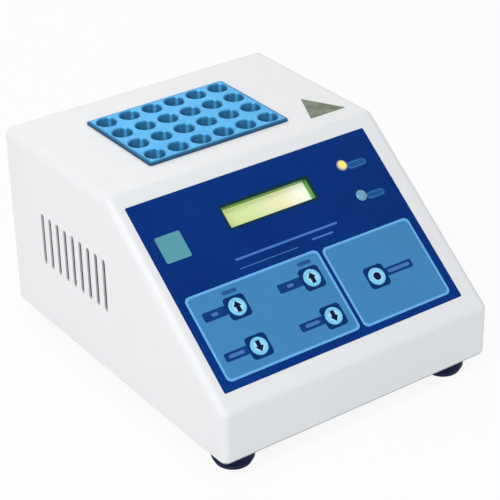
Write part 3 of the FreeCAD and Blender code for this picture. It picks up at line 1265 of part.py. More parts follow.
def make_mains_wires():
    """From the inlet to the fuse, the switch and the board, and from its middle pin to the base plate."""
    panel_back = f"({BACK} - bay_depth)"
    pin_y = f"({panel_back} - inlet_body_depth - pin_tail / 2)"
    pin_low = f"({BAY_MIDDLE} - pin_offset - pin_width / 2)"
    tab_y = f"({panel_back} - fuse_tab_back)"
    tab_low = f"({BAY_MIDDLE} - fuse_body_diameter / 2 - fuse_tab_length)"
    end_tab_y = f"({panel_back} - fuse_body_depth - fuse_tab_length / 2)"
    switch_x = "(-rocker_side)"
    switch_low = f"({BAY_MIDDLE} - rocker_tab_spacing / 2 - pin_width / 2)"
    switch_top = f"({BAY_MIDDLE} + rocker_tab_spacing / 2 + pin_width / 2)"
    return group("mains_wires", [
        lead("live_wire", ("(inlet_side - pin_spacing)", pin_y, pin_low),
             ("0", end_tab_y, f"({BAY_MIDDLE} - tab_thick / 2)"), "live_drop", "wire_diameter"),
        lead("fused_wire", ("0", tab_y, tab_low), (switch_x, tab_y, switch_low), "fused_drop",
             "wire_diameter"),
        lead("switched_wire", (switch_x, tab_y, switch_top),
             (switch_x, f"({POWER_BOARD_END} - switched_back)", POWER_BOARD_TOP), "(-switched_rise)",
             "wire_diameter"),
        lead("neutral_wire", ("(inlet_side + pin_spacing)", pin_y, pin_low),
             (f"({BLOCK_X} + neutral_side)", f"({POWER_BOARD_END} - neutral_back)", POWER_BOARD_TOP),
             "neutral_drop", "wire_diameter"),
        lead("earth_wire", ("inlet_side", pin_y, f"({BAY_MIDDLE} + pin_offset - pin_width / 2)"),
             ("inlet_side", f"({BACK} - earth_back)", FLOOR), "earth_drop", "wire_diameter")])


def make_ribbon_cable():
    """A flat cable from the back of the control board to the front of the power board, with its plugs."""
    lower_y = f"({POWER_BOARD_Y} - power_board_depth / 2 + ribbon_front)"
    plug_back = f"({CONTROL_DEPTH} + board_thick + plug_height)"

    def below_panel(depth):
        return (f"({FRONT} + ribbon_rise * cos({SLOPE}) + {depth} * sin({SLOPE}))",
                f"({FLOOR} + lip_height + ribbon_rise * sin({SLOPE}) - {depth} * cos({SLOPE}))")
    start = below_panel(plug_back)
    turn = below_panel(f"({plug_back} + ribbon_drop)")
    path = route("ribbon_path", [start, turn, (lower_y, turn[1]),
                                 (lower_y, f"{POWER_BOARD_TOP} + plug_height")], "ribbon_bend")
    put(path, f"placement(vector({BLOCK_X}; 0; 0); rotation(vector(1; 1; 1); 120))")
    strip = doc.addObject("Part::Plane", "ribbon_section")
    bind(strip, Length="ribbon_width", Width="ribbon_thick")
    put(strip, f"placement(vector({BLOCK_X}; {start[0]}; {start[1]}); rotation(vector(1; 1; 1); 120))"
               f" * placement(vector(0; 0; 0); rotation(vector(0; 0; 1); {SLOPE} - 90 deg))"
               " * placement(vector(0; 0; 0); rotation(vector(0; 1; 0); 90))"
               " * placement(vector(-ribbon_width / 2; -ribbon_thick / 2; 0); rotation(vector(0; 0; 1); 0))")
    upper = on_panel(box("upper_plug", "0", "0", "0", "plug_length", "plug_width", "plug_height"),
                     f"{BLOCK_X} - {LEFT} - plug_length / 2", "ribbon_rise - plug_width / 2", f"-{plug_back}")
    lower = box("lower_plug", BLOCK_X, lower_y, POWER_BOARD_TOP, "plug_length", "plug_width", "plug_height")
    return sweep("ribbon_cable", strip, path), group("ribbon_plugs", [upper, lower])


def collect():
    nodes["case_cover"] = make_case_cover()
    nodes["base_plate"] = make_base_plate()
    for name, (x, y) in foot_places().items():
        nodes[name] = make_foot(name, x, y)
    nodes["foot_screws"] = make_foot_screws()
    nodes["foot_nuts"] = make_foot_nuts()
    nodes["case_screws"] = screw_set("case_screws", case_boss_places(), "foot_height",
                                     "base_plate_thick + case_screw_grip")
    nodes["heating_block"] = make_heating_block()
    nodes["block_gasket"] = make_block_gasket()
    nodes["insulation_jacket"] = make_insulation_jacket()
    nodes["heater_plate"] = box("heater_plate", BLOCK_X, BLOCK_Y, HEATER_LOW, "block_length", "block_depth",
                                "heater_thick")
    nodes["block_carrier"] = make_block_carrier()
    nodes["carrier_screws"] = screw_set("carrier_screws", carrier_screw_places(), "foot_height",
                                        "base_plate_thick + carrier_thick + carrier_screw_end")
    nodes["thermal_cutout"] = make_thermal_cutout()
    nodes["temperature_sensor"] = make_temperature_sensor()
    nodes["panel_overlay"] = make_panel_overlay()
    for name, (x, y) in KEYS.items():
        nodes[name] = make_key(name, x, y)
        nodes[name + "_switch"] = make_key_switch(name + "_switch", x, y)
    for name, (x, y) in LAMPS.items():
        nodes[name] = make_lamp(name, x, y)
    nodes["display_frame"] = make_display_frame()
    nodes["display_glass"] = make_display_glass()
    nodes["display_module"] = make_display_module()
    nodes["control_board"] = make_control_board()
    nodes["control_board_screws"] = on_panel(screw_set("control_board_screws", board_corners(),
                                                       f"-{CONTROL_DEPTH} - board_thick",
                                                       "board_thick + board_screw_grip"))
    nodes["foil_triangle"] = make_foil_triangle()
    nodes["power_board"] = make_power_board()
    nodes["board_spacers"] = make_board_spacers()
    nodes["power_board_screws"] = screw_set("power_board_screws", spacer_places(), POWER_BOARD_TOP,
                                            "board_thick + spacer_height + base_plate_thick", down=True)
    nodes["transformer_core"], nodes["transformer_coil"] = make_transformer()
    nodes["heat_sink"], nodes["power_triac"] = make_heat_sink()
    nodes["terminal_block"] = make_terminal_block()
    nodes["heater_leads"] = make_heater_leads()
    nodes["cutout_leads"] = make_cutout_leads()
    nodes["mains_wires"] = make_mains_wires()
    nodes["ribbon_cable"], nodes["ribbon_plugs"] = make_ribbon_cable()
    nodes["rear_panel"] = make_rear_panel()
    nodes["rear_panel_screws"] = on_rear(screw_set("rear_panel_screws", rear_panel_corners(),
                                                   "-rear_panel_thick", "rear_panel_thick + screw_grip"))
    nodes["inlet_socket"] = make_inlet_socket()
    nodes["inlet_pins"] = make_inlet_pins()
    nodes["inlet_screws"] = on_rear(screw_set("inlet_screws", inlet_screw_places(), "inlet_flange_thick",
                                              "inlet_flange_thick + rear_panel_thick + screw_grip",
                                              down=True))
    nodes["switch_housing"] = make_switch_housing()
    nodes["switch_rocker"] = make_switch_rocker()
    nodes["fuse_holder"], nodes["fuse_nut"], nodes["fuse_cap"], nodes["glass_fuse"] = make_fuse_holder()


collect()
for name, obj in nodes.items():
    obj.Label = name
doc.recompute()

failed = [obj.Name for obj in doc.Objects if "Invalid" in obj.State or "Error" in obj.State]
for name, obj in nodes.items():
    if obj.Shape.isNull() or not obj.Shape.isValid() or not obj.Shape.Solids:
        failed.append(name)
if failed:
    raise RuntimeError("failed objects: " + ", ".join(failed))

os.makedirs("parts", exist_ok=True)
for name, obj in nodes.items():
    obj.Shape.exportStep("parts/%s.step" % name)
    print(name, len(obj.Shape.Solids), "solids,", round(obj.Shape.Volume), "mm3")
print(len(nodes), "nodes")
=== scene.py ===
# Studio picture of a dry block heater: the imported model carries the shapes,
# this script gives it finishes, panel print, key marks, lights and the camera.
import json
import math

import bmesh
import bpy
from mathutils import Matrix, Vector

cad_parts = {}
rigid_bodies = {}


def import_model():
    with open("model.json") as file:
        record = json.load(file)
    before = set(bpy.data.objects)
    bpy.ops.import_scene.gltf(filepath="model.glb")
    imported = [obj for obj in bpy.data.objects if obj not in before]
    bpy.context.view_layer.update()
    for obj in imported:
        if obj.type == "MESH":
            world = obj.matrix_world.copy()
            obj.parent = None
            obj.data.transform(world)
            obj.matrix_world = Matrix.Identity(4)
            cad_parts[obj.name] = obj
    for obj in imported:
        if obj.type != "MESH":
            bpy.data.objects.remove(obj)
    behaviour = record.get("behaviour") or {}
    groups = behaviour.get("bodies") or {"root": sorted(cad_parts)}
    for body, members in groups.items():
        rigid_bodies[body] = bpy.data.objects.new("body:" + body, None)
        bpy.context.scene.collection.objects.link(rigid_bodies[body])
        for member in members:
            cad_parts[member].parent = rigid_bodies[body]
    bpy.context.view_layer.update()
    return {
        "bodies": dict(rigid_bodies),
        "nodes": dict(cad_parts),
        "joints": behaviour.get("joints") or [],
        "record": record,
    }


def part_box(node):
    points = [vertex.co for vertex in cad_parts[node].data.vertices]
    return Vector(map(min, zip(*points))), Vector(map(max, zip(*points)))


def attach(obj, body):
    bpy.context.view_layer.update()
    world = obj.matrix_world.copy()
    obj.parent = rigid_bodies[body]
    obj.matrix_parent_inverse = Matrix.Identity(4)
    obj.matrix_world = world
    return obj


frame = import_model()
nodes = frame["nodes"]
scene = bpy.context.scene
mm = 0.001
plainWhite = (1, 1, 1, 1)
print("frame loaded:", len(nodes), "nodes")


def screenColour(red, green, blue):
    # colours are written as they look on a screen, 0 to 255
    levels = [value / 255 for value in (red, green, blue)]
    linear = [v / 12.92 if v <= 0.04045 else ((v + 0.055) / 1.055) ** 2.4 for v in levels]
    return (*linear, 1.0)


def addMath(tree, operation, *values):
    # each value is a socket or a plain number
    step = tree.nodes.new("ShaderNodeMath")
    step.operation = operation
    for socket, value in zip(step.inputs, values):
        if isinstance(value, (int, float)):
            socket.default_value = value
        else:
            tree.links.new(value, socket)
    return step.outputs[0]


# camera
cameraView = {
    "place": (-0.5598, -0.8072, 0.6223),
    "turn": -35.067,  # degrees, looking from the front left
    "rise": 29.793,
    "roll": -1.190,
    "lens": 128.6,
    "sensor": 36.0,
    "shift": (-0.0047, 0.0157),
    "reach": 20.0,
}


def placeCamera(view):
    turn, rise, roll = (math.radians(view[key]) for key in ("turn", "rise", "roll"))
    back = Vector((math.sin(turn) * math.cos(rise), -math.cos(turn) * math.cos(rise), math.sin(rise)))
    level = Vector((0, 0, 1)).cross(back).normalized()
    upright = back.cross(level)
    right = math.cos(roll) * level + math.sin(roll) * upright
    top = -math.sin(roll) * level + math.cos(roll) * upright
    data = bpy.data.cameras.new("benchCamera")
    data.lens = view["lens"]
    data.sensor_width = view["sensor"]
    data.shift_x, data.shift_y = view["shift"]
    data.clip_end = view["reach"]
    camera = bpy.data.objects.new("benchCamera", data)
    scene.collection.objects.link(camera)
    turned = Matrix((right, top, back)).transposed().to_4x4()
    camera.matrix_world = Matrix.Translation(view["place"]) @ turned
    scene.camera = camera


placeCamera(cameraView)
print("camera placed")

# world, floor and lamps
studio = {
    "world": 0.5,
    "worldShow": 1.0,  # how much of the backdrop is plain white to the camera
    "floorColour": screenColour(248, 248, 248),
    "floorSize": 6.0,
    "floorShow": 0.9,  # how much of the floor is plain white to the camera
    "aim": (0, 0, 0.08),
    "lamps": {
        "key": {"place": (-1.1, -0.35, 1.5), "size": 0.7, "watts": 11.0},
        "side": {"place": (-1.4, -0.55, 0.85), "size": 0.5, "watts": 3.0},
        "front": {"place": (0.2, -1.7, 0.9), "size": 1.2, "watts": 3.8, "colour": (0.84, 0.95, 1.0)},
        "back": {"place": (0.5, 1.5, 1.2), "size": 1.2, "watts": 6.0},
    },
}


def whiteForCamera(tree, nodesBySide, show):
    # camera, mirror and clear glass see plain white; the light that falls on the object is weaker
    path = tree.nodes.new("ShaderNodeLightPath")
    seen = addMath(tree, "MAXIMUM", path.outputs["Is Camera Ray"], path.outputs["Is Glossy Ray"])
    seen = addMath(tree, "MAXIMUM", seen, path.outputs["Is Transmission Ray"])
    mix = tree.nodes.new("ShaderNodeMixShader")
    tree.links.new(addMath(tree, "MULTIPLY", seen, show), mix.inputs["Fac"])
    tree.links.new(nodesBySide[0].outputs[0], mix.inputs[1])
    tree.links.new(nodesBySide[1].outputs[0], mix.inputs[2])
    return mix


def buildStudio(look):
    world = bpy.data.worlds.new("studioWorld")
    scene.world = world
    world.use_nodes = True
    tree = world.node_tree
    tree.nodes.clear()
    dim = tree.nodes.new("ShaderNodeBackground")
    dim.inputs["Color"].default_value = plainWhite
    dim.inputs["Strength"].default_value = look["world"]
    white = tree.nodes.new("ShaderNodeBackground")
    white.inputs["Color"].default_value = plainWhite
    mix = whiteForCamera(tree, (dim, white), look["worldShow"])
    output = tree.nodes.new("ShaderNodeOutputWorld")
    tree.links.new(mix.outputs[0], output.inputs["Surface"])

    bpy.ops.mesh.primitive_plane_add(size=look["floorSize"])
    floor = bpy.context.object
    floor.name = "studioFloor"
    material = bpy.data.materials.new("studioFloor")
    material.use_nodes = True
    tree = material.node_tree
    tree.nodes.clear()
    matt = tree.nodes.new("ShaderNodeBsdfDiffuse")
    matt.inputs["Color"].default_value = look["floorColour"]
    glow = tree.nodes.new("ShaderNodeEmission")
    glow.inputs["Color"].default_value = plainWhite
    mix = whiteForCamera(tree, (matt, glow), look["floorShow"])
    output = tree.nodes.new("ShaderNodeOutputMaterial")
    tree.links.new(mix.outputs[0], output.inputs["Surface"])
    floor.data.materials.append(material)

    for name, lamp in look["lamps"].items():
        data = bpy.data.lights.new(name + "Lamp", "AREA")
        data.shape = "DISK"
        data.size = lamp["size"]
        data.energy = lamp["watts"]
        data.color = lamp.get("colour", plainWhite[:3])
        light = bpy.data.objects.new(name + "Lamp", data)
        scene.collection.objects.link(light)
        light.location = lamp["place"]
        aim = Vector(look["aim"]) - Vector(lamp["place"])
        light.rotation_euler = aim.to_track_quat("-Z", "Y").to_euler()


buildStudio(studio)
scene.view_settings.view_transform = "Standard"
print("studio lit")


# finishes: what a finish doesn't say itself, with sizes in metres
usual = {
    "metal": 0.0, "ior": 1.46, "coatRoughness": 0.15, "stretch": None, "noiseRoughness": 0.55,
    "drift": 0.95, "driftSize": 0.03, "driftDetail": 3.0,
    "uneven": 0.05, "glossSize": 0.012, "glossDetail": 4.0,
    "grainDepth": 0.0, "grainStrength": 0.5, "grainDetail": 2.0,
}


def addNoise(tree, place, size, detail, stretch=None):
    # size in metres; stretch turns round spots into streaks along one axis
    source = place.outputs["Object"]
    if stretch:
        squeeze = tree.nodes.new("ShaderNodeMapping")
        squeeze.inputs["Scale"].default_value = stretch
        tree.links.new(source, squeeze.inputs["Vector"])
        source = squeeze.outputs["Vector"]
    spots = tree.nodes.new("ShaderNodeTexNoise")
    spots.inputs["Scale"].default_value = 1 / size
    spots.inputs["Detail"].default_value = detail
    spots.inputs["Roughness"].default_value = usual["noiseRoughness"]
    tree.links.new(source, spots.inputs["Vector"])
    return spots.outputs["Fac"]


def spread(tree, value, low, high, start=0.3, end=0.7):
    reach = tree.nodes.new("ShaderNodeMapRange")
    for key, number in (("From Min", start), ("From Max", end), ("To Min", low), ("To Max", high)):
        reach.inputs[key].default_value = number
    tree.links.new(value, reach.inputs["Value"])
    return reach.outputs["Result"]


def boreWalls(tree, shader, place, bore):
    # how far a surface is an upright drilled wall; there a highlight is drawn out along the bore
    split = tree.nodes.new("ShaderNodeSeparateXYZ")
    tree.links.new(place.outputs["Normal"], split.inputs[0])
    shader.inputs["Anisotropic"].default_value = bore["streak"]
    upright = tree.nodes.new("ShaderNodeCombineXYZ")
    upright.inputs["X"].default_value = bore["lean"]
    upright.inputs["Z"].default_value = 1.0
    tree.links.new(upright.outputs["Vector"], shader.inputs["Tangent"])
    slope = addMath(tree, "ABSOLUTE", split.outputs["Z"])
    return spread(tree, slope, 1.0, 0.0, bore["steep"], bore["level"])


def blendColour(tree, share, colour, other):
    mix = tree.nodes.new("ShaderNodeMix")
    mix.data_type = "RGBA"
    tree.links.new(share, mix.inputs["Factor"])
    for socket, value in ((mix.inputs[6], colour), (mix.inputs[7], other)):
        if isinstance(value, tuple):
            socket.default_value = value
        else:
            tree.links.new(value, socket)
    return mix.outputs[2]


def edgeShadeMask(tree, place, rim):
    # how near a point of the block lies to its outer sides, seen from above: the mask of the painted shade
    # along its edges
    low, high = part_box(rim["node"])
    split = tree.nodes.new("ShaderNodeSeparateXYZ")
    tree.links.new(place.outputs["Object"], split.inputs[0])
    shares = []
    for axis in (0, 1):
        middle, half = (low[axis] + high[axis]) / 2, (high[axis] - low[axis]) / 2
        away = addMath(tree, "ABSOLUTE", addMath(tree, "SUBTRACT", split.outputs[axis], middle))
        shares.append(spread(tree, away, 0.0, 1.0, half - rim["start"], half - rim["end"]))
    return addMath(tree, "MAXIMUM", *shares)


def finish(name, said):
    look = {**usual, **said}
    material = bpy.data.materials.new(name)
    material.use_nodes = True
    tree = material.node_tree
    shader = tree.nodes["Principled BSDF"]
    place = tree.nodes.new("ShaderNodeTexCoord")
    shader.inputs["Metallic"].default_value = look["metal"]
    shader.inputs["IOR"].default_value = look["ior"]
    if "coat" in look:
        shader.inputs["Coat Weight"].default_value = look["coat"]
        shader.inputs["Coat Roughness"].default_value = look["coatRoughness"]
    if "clear" in look:
        shader.inputs["Transmission Weight"].default_value = look["clear"]
    if "glow" in look:
        shader.inputs["Emission Color"].default_value = look.get("glowColour", look["colour"])
        shader.inputs["Emission Strength"].default_value = look["glow"]

    # slow drift between two tones
    drift = addNoise(tree, place, look["driftSize"], look["driftDetail"], look["stretch"])
    second = look.get("colourTwo") or (*(value * look["drift"] for value in look["colour"][:3]), 1)
    colour = blendColour(tree, spread(tree, drift, 0.0, 1.0), look["colour"], second)

    # uneven gloss
    rough, uneven = look["roughness"], look["uneven"]
    patches = addNoise(tree, place, look["glossSize"], look["glossDetail"], look["stretch"])
    gloss = spread(tree, patches, rough - uneven, rough + uneven)
    if "bore" in look:
        wall = boreWalls(tree, shader, place, look["bore"])
        colour = blendColour(tree, wall, colour, look["bore"]["colour"])
        gloss = addMath(tree, "ADD", gloss, spread(tree, wall, 0.0, look["bore"]["rougher"], 0.0, 1.0))
    # painted shade: the block's top is darker in a band along its outer sides
    if "rim" in look:
        colour = blendColour(tree, edgeShadeMask(tree, place, look["rim"]), colour, look["rim"]["colour"])
    tree.links.new(colour, shader.inputs["Base Color"])
    tree.links.new(gloss, shader.inputs["Roughness"])

    # surface grain
    if look["grainDepth"]:
        stretch = look.get("grainStretch", look["stretch"])
        grain = addNoise(tree, place, look["grainSize"], look["grainDetail"], stretch)
        bump = tree.nodes.new("ShaderNodeBump")
        bump.inputs["Strength"].default_value = look["grainStrength"]
        bump.inputs["Distance"].default_value = look["grainDepth"]
        tree.links.new(grain, bump.inputs["Height"])
        tree.links.new(bump.outputs["Normal"], shader.inputs["Normal"])
    return material


finishes = {
    "white_housing": {
        "colour": screenColour(238, 239, 241), "drift": 0.985, "roughness": 0.48, "uneven": 0.06,
        "grainSize": 0.0011, "grainDepth": 0.00006, "driftSize": 0.06,
    },
    "base_steel": {
        "colour": screenColour(176, 180, 186), "roughness": 0.45, "grainSize": 0.0016, "grainDepth": 0.00004,
    },
    "foot_rubber": {
        "colour": screenColour(12, 24, 66), "drift": 0.7, "roughness": 0.62, "uneven": 0.08, "ior": 1.2,
        "grainSize": 0.0009, "grainDepth": 0.00012, "driftSize": 0.008,
    },
    "zinc_screws": {
        "colour": screenColour(196, 198, 200), "metal": 1.0, "roughness": 0.32, "driftSize": 0.004,
        "colourTwo": screenColour(206, 202, 186), "grainSize": 0.0005, "grainDepth": 0.00002,
    },
    "blue_anodised": {
        "colour": screenColour(64, 151, 200), "metal": 0.9, "drift": 0.93, "roughness": 0.4, "uneven": 0.04,
        "driftSize": 0.03, "grainSize": 0.0012, "grainStretch": (0.08, 1, 1), "grainDepth": 0.00003,
        "bore": {
            "colour": screenColour(70, 154, 204), "streak": 0.94, "rougher": 0.2,
            "lean": 0.02,  # keeps the streak's direction off the exact upright
            "steep": 0.2, "level": 0.8,  # how far the normal points up on a wall and on the top
        },
        # painted shade: a darker band along the block's top edges stands in for the shade and dark gasket
        # line round the block
        "rim": {
            "node": "heating_block", "start": 0.0017, "end": 0.0011, "colour": screenColour(52, 122, 164),
        },
    },
    "dark_gasket": {
        "colour": screenColour(24, 80, 122), "roughness": 0.7, "grainSize": 0.0008, "grainDepth": 0.0001,
        "driftSize": 0.006, "drift": 0.8,
    },
    "insulation_foam": {
        "colour": screenColour(228, 224, 208), "drift": 0.86, "roughness": 0.9, "driftSize": 0.002,
        "grainSize": 0.0012, "grainDepth": 0.0006, "grainStrength": 0.9,
    },
    "heater_silicone": {
        "colour": screenColour(196, 96, 52), "roughness": 0.6, "grainSize": 0.0014, "grainDepth": 0.0001,
    },
    "bright_sheet": {
        "colour": screenColour(198, 200, 202), "metal": 1.0, "roughness": 0.34, "stretch": (1, 12, 12),
        "driftSize": 0.02, "drift": 0.88, "grainSize": 0.004, "grainDepth": 0.00002,
    },
    "black_plastic": {
        "colour": screenColour(34, 34, 36), "roughness": 0.46, "uneven": 0.07, "drift": 0.8,
        "grainSize": 0.0007, "grainDepth": 0.00008, "driftSize": 0.01,
    },
    "black_gloss": {
        "colour": screenColour(26, 26, 28), "roughness": 0.2, "uneven": 0.05, "coat": 0.3, "drift": 0.85,
        "grainSize": 0.002, "grainDepth": 0.00002, "driftSize": 0.01,
    },
    "panel_film": {
        "colour": screenColour(2, 46, 120), "colourTwo": screenColour(4, 56, 133), "roughness": 0.42,
        "uneven": 0.05, "driftSize": 0.07, "grainSize": 0.0006, "grainDepth": 0.00003, "ior": 1.14,
    },
    "key_cap": {
        "colour": screenColour(122, 212, 252), "drift": 0.96, "roughness": 0.3, "grainSize": 0.0008,
        "grainDepth": 0.00003, "driftSize": 0.006, "coat": 0.2,
    },
    "lit_lamp": {
        "colour": screenColour(250, 222, 120), "glowColour": screenColour(255, 226, 110), "glow": 0.55,
        "roughness": 0.22, "driftSize": 0.003, "drift": 0.9,
    },
    "unlit_lamp": {
        "colour": screenColour(104, 168, 196), "drift": 0.85, "roughness": 0.22,
        "driftSize": 0.004, "coat": 0.3,
    },
    "display_green": {"colour": screenColour(82, 152, 44), "roughness": 0.35},
    "display_face": {
        "colour": screenColour(240, 238, 214), "glow": 0.45, "roughness": 0.2, "driftSize": 0.03,
    },
    "board_laminate": {
        "colour": screenColour(30, 112, 62), "colourTwo": screenColour(24, 92, 50), "roughness": 0.3,
        "driftSize": 0.003, "stretch": (1, 6, 1), "grainSize": 0.0015, "grainDepth": 0.00004,
    },
    "olive_foil": {
        "colour": screenColour(74, 82, 66), "colourTwo": screenColour(134, 140, 118), "metal": 0.2,
        "roughness": 0.5, "uneven": 0.08, "driftSize": 0.006, "grainSize": 0.0012, "grainDepth": 0.00006,
    },
    "brass_parts": {
        "colour": screenColour(226, 204, 142), "metal": 1.0, "roughness": 0.28,
        "driftSize": 0.004, "drift": 0.88,
    },
    "core_steel": {
        "colour": screenColour(92, 92, 96), "metal": 0.7, "roughness": 0.5, "stretch": (1, 14, 1),
        "driftSize": 0.004, "drift": 0.6, "grainSize": 0.002, "grainDepth": 0.0001,
    },
    "coil_tape": {
        "colour": screenColour(226, 178, 72), "drift": 0.8, "roughness": 0.3, "stretch": (1, 1, 10),
        "driftSize": 0.006, "coat": 0.3,
    },
    "bright_aluminium": {
        "colour": screenColour(214, 216, 218), "metal": 1.0, "roughness": 0.36, "stretch": (1, 1, 0.1),
        "driftSize": 0.003, "drift": 0.9,
    },
    "terminal_green": {
        "colour": screenColour(52, 142, 84), "roughness": 0.4, "drift": 0.9, "driftSize": 0.006,
        "grainSize": 0.0008, "grainDepth": 0.00004,
    },
    "rear_paint": {
        "colour": screenColour(206, 209, 212), "roughness": 0.42, "grainSize": 0.0015, "grainDepth": 0.00006,
        "drift": 0.97,
    },
    "wire_sheath": {
        "colour": screenColour(134, 84, 52), "drift": 0.9, "roughness": 0.4, "driftSize": 0.01,
        "grainSize": 0.001, "grainDepth": 0.00003,
    },
    "ribbon_sheath": {
        "colour": screenColour(186, 188, 192), "colourTwo": screenColour(150, 153, 158), "roughness": 0.42,
        "driftSize": 0.0013, "stretch": (1, 0.02, 0.02), "grainSize": 0.0013, "grainDepth": 0.0002,
    },
    "fuse_glass": {
        "colour": screenColour(244, 248, 250), "clear": 1.0, "roughness": 0.06, "uneven": 0.03,
        "driftSize": 0.004,
    },
}
materials = {name: finish(name, look) for name, look in finishes.items()}


def objectPlace(tree):
    return next(node for node in tree.nodes if node.bl_idname == "ShaderNodeTexCoord").outputs["Object"]


def ramp(tree, value, stops):
    band = tree.nodes.new("ShaderNodeValToRGB")
    elements = band.color_ramp.elements
    while len(elements) < len(stops):
        elements.new(0.5)
    for element, (place, colour) in zip(elements, stops):
        element.position = place
        element.color = colour
    tree.links.new(value, band.inputs["Fac"])
    return band.outputs["Color"]


lampLens = {
    "radius": 4.4,  # mm
    "stops": (  # from the lit middle to the rim
        (0.0, screenColour(232, 212, 62)), (0.3, screenColour(236, 220, 100)),
        (0.58, screenColour(212, 192, 132)), (0.8, screenColour(138, 132, 136)),
        (1.0, screenColour(52, 66, 116)),
    ),
    "glow": 0.4,
}


def lightLens(node, look):
    # the lens is brightest at its middle
    tree = materials["lit_lamp"].node_tree
    shader = tree.nodes["Principled BSDF"]
    points = [panelPlace.inverted() @ vertex.co for vertex in node.data.vertices]
    left, right = min(point.x for point in points), max(point.x for point in points)
    low, high = min(point.y for point in points), max(point.y for point in points)
    centre = panelPlace @ Vector(((left + right) / 2, (low + high) / 2, max(point.z for point in points)))
    away = tree.nodes.new("ShaderNodeVectorMath")
    away.operation = "DISTANCE"
    away.inputs[1].default_value = centre
    tree.links.new(objectPlace(tree), away.inputs[0])
    share = spread(tree, away.outputs["Value"], 0.0, 1.0, 0.0, look["radius"] * mm)
    colour = ramp(tree, share, look["stops"])
    tree.links.new(colour, shader.inputs["Base Color"])
    tree.links.new(colour, shader.inputs["Emission Color"])
    shader.inputs["Emission Strength"].default_value = look["glow"]


slotOf = {row["node"]: row["material_slot"] for row in frame["record"]["subparts"]}
for name, node in nodes.items():
    node.data.materials.clear()
    node.data.materials.append(materials[slotOf[name]])
print("finishes set:", len(materials))

# sloping panel: u to the right from the housing's left side, v up the slope from the lip's edge, in mm
panel = {"filmLow": 12.0, "joint": "temp_up_key_press"}
axes = {joint["name"]: Vector(joint["axis"]) for joint in frame["joints"]}
panelOut = axes[panel["joint"]].normalized()
if panelOut.z < 0:
    panelOut = -panelOut
panelUp = Vector((0, panelOut.z, -panelOut.y))
filmPoints = [vertex.co.copy() for vertex in nodes["panel_overlay"].data.vertices]
filmLevel = max(point.dot(panelOut) for point in filmPoints)
filmFoot = min(point.dot(panelUp) for point in filmPoints)
panelStart = Vector((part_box("case_cover")[0].x, 0, 0)) + panelOut * filmLevel
panelStart += panelUp * (filmFoot - panel["filmLow"] * mm)
panelTurn = Matrix((Vector((1, 0, 0)), panelUp, panelOut)).transposed().to_4x4()
panelPlace = Matrix.Translation(panelStart) @ panelTurn
lightLens(nodes["power_lamp"], lampLens)


def roundedRect(left, low, right, high, corner, steps=6):
    # points of a rounded rectangle, anticlockwise from the right side's foot
    centres = ((right - corner, low + corner, -90), (right - corner, high - corner, 0),
               (left + corner, high - corner, 90), (left + corner, low + corner, 180))
    points = []
    for x, y, start in centres:
        for step in range(steps + 1):
            angle = math.radians(start + 90 * step / steps)
            points.append((x + corner * math.cos(angle), y + corner * math.sin(angle)))
    return points


def pill(left, low, right, high, slack=0.01):
    # a bar with round ends; slack leaves its short sides a little length
    return roundedRect(left, low, right, high, (high - low) / 2 - slack)


def inset(box, edge):
    left, low, right, high = box
    return left + edge, low + edge, right - edge, high - edge


def roundLoop(u, v, radius, steps=48):
    turns = [2 * math.pi * step / steps for step in range(steps)]
    return [(u + radius * math.cos(turn), v + radius * math.sin(turn)) for turn in turns]


def flatShape(name, loops, thick, bottom, place):
    # a thin flat sheet with holes: loops in mm, its underside at bottom above the plane
    curve = bpy.data.curves.new(name + "Curve", "CURVE")
    curve.dimensions = "2D"
    curve.fill_mode = "BOTH"
    curve.extrude = thick / 2 * mm
    for loop in loops:
        spline = curve.splines.new("POLY")
        spline.points.add(len(loop) - 1)
        for point, (u, v) in zip(spline.points, loop):
            point.co = (u * mm, v * mm, 0, 1)
        spline.use_cyclic_u = True
    holder = bpy.data.objects.new(name + "Curve", curve)
    scene.collection.objects.link(holder)
    bpy.context.view_layer.update()
    mesh = bpy.data.meshes.new_from_object(holder.evaluated_get(bpy.context.evaluated_depsgraph_get()))
    bpy.data.objects.remove(holder)
    mesh.transform(Matrix.Translation((0, 0, (bottom + thick / 2) * mm)))
    mesh.transform(place)
    return mesh


def addPiece(name, mesh, material, body="housing"):
    mesh.name = name
    mesh.materials.clear()
    mesh.materials.append(material)
    piece = bpy.data.objects.new(name, mesh)
    scene.collection.objects.link(piece)
    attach(piece, body)
    return piece


# print on the panel film
keyNames = [name for name in frame["bodies"] if name.endswith("_key")]
keyCentres = {}
for name in keyNames:
    vertices = nodes[name].data.vertices
    local = panelPlace.inverted() @ (sum((vertex.co for vertex in vertices), Vector()) / len(vertices))
    keyCentres[name] = (local.x / mm, local.y / mm)

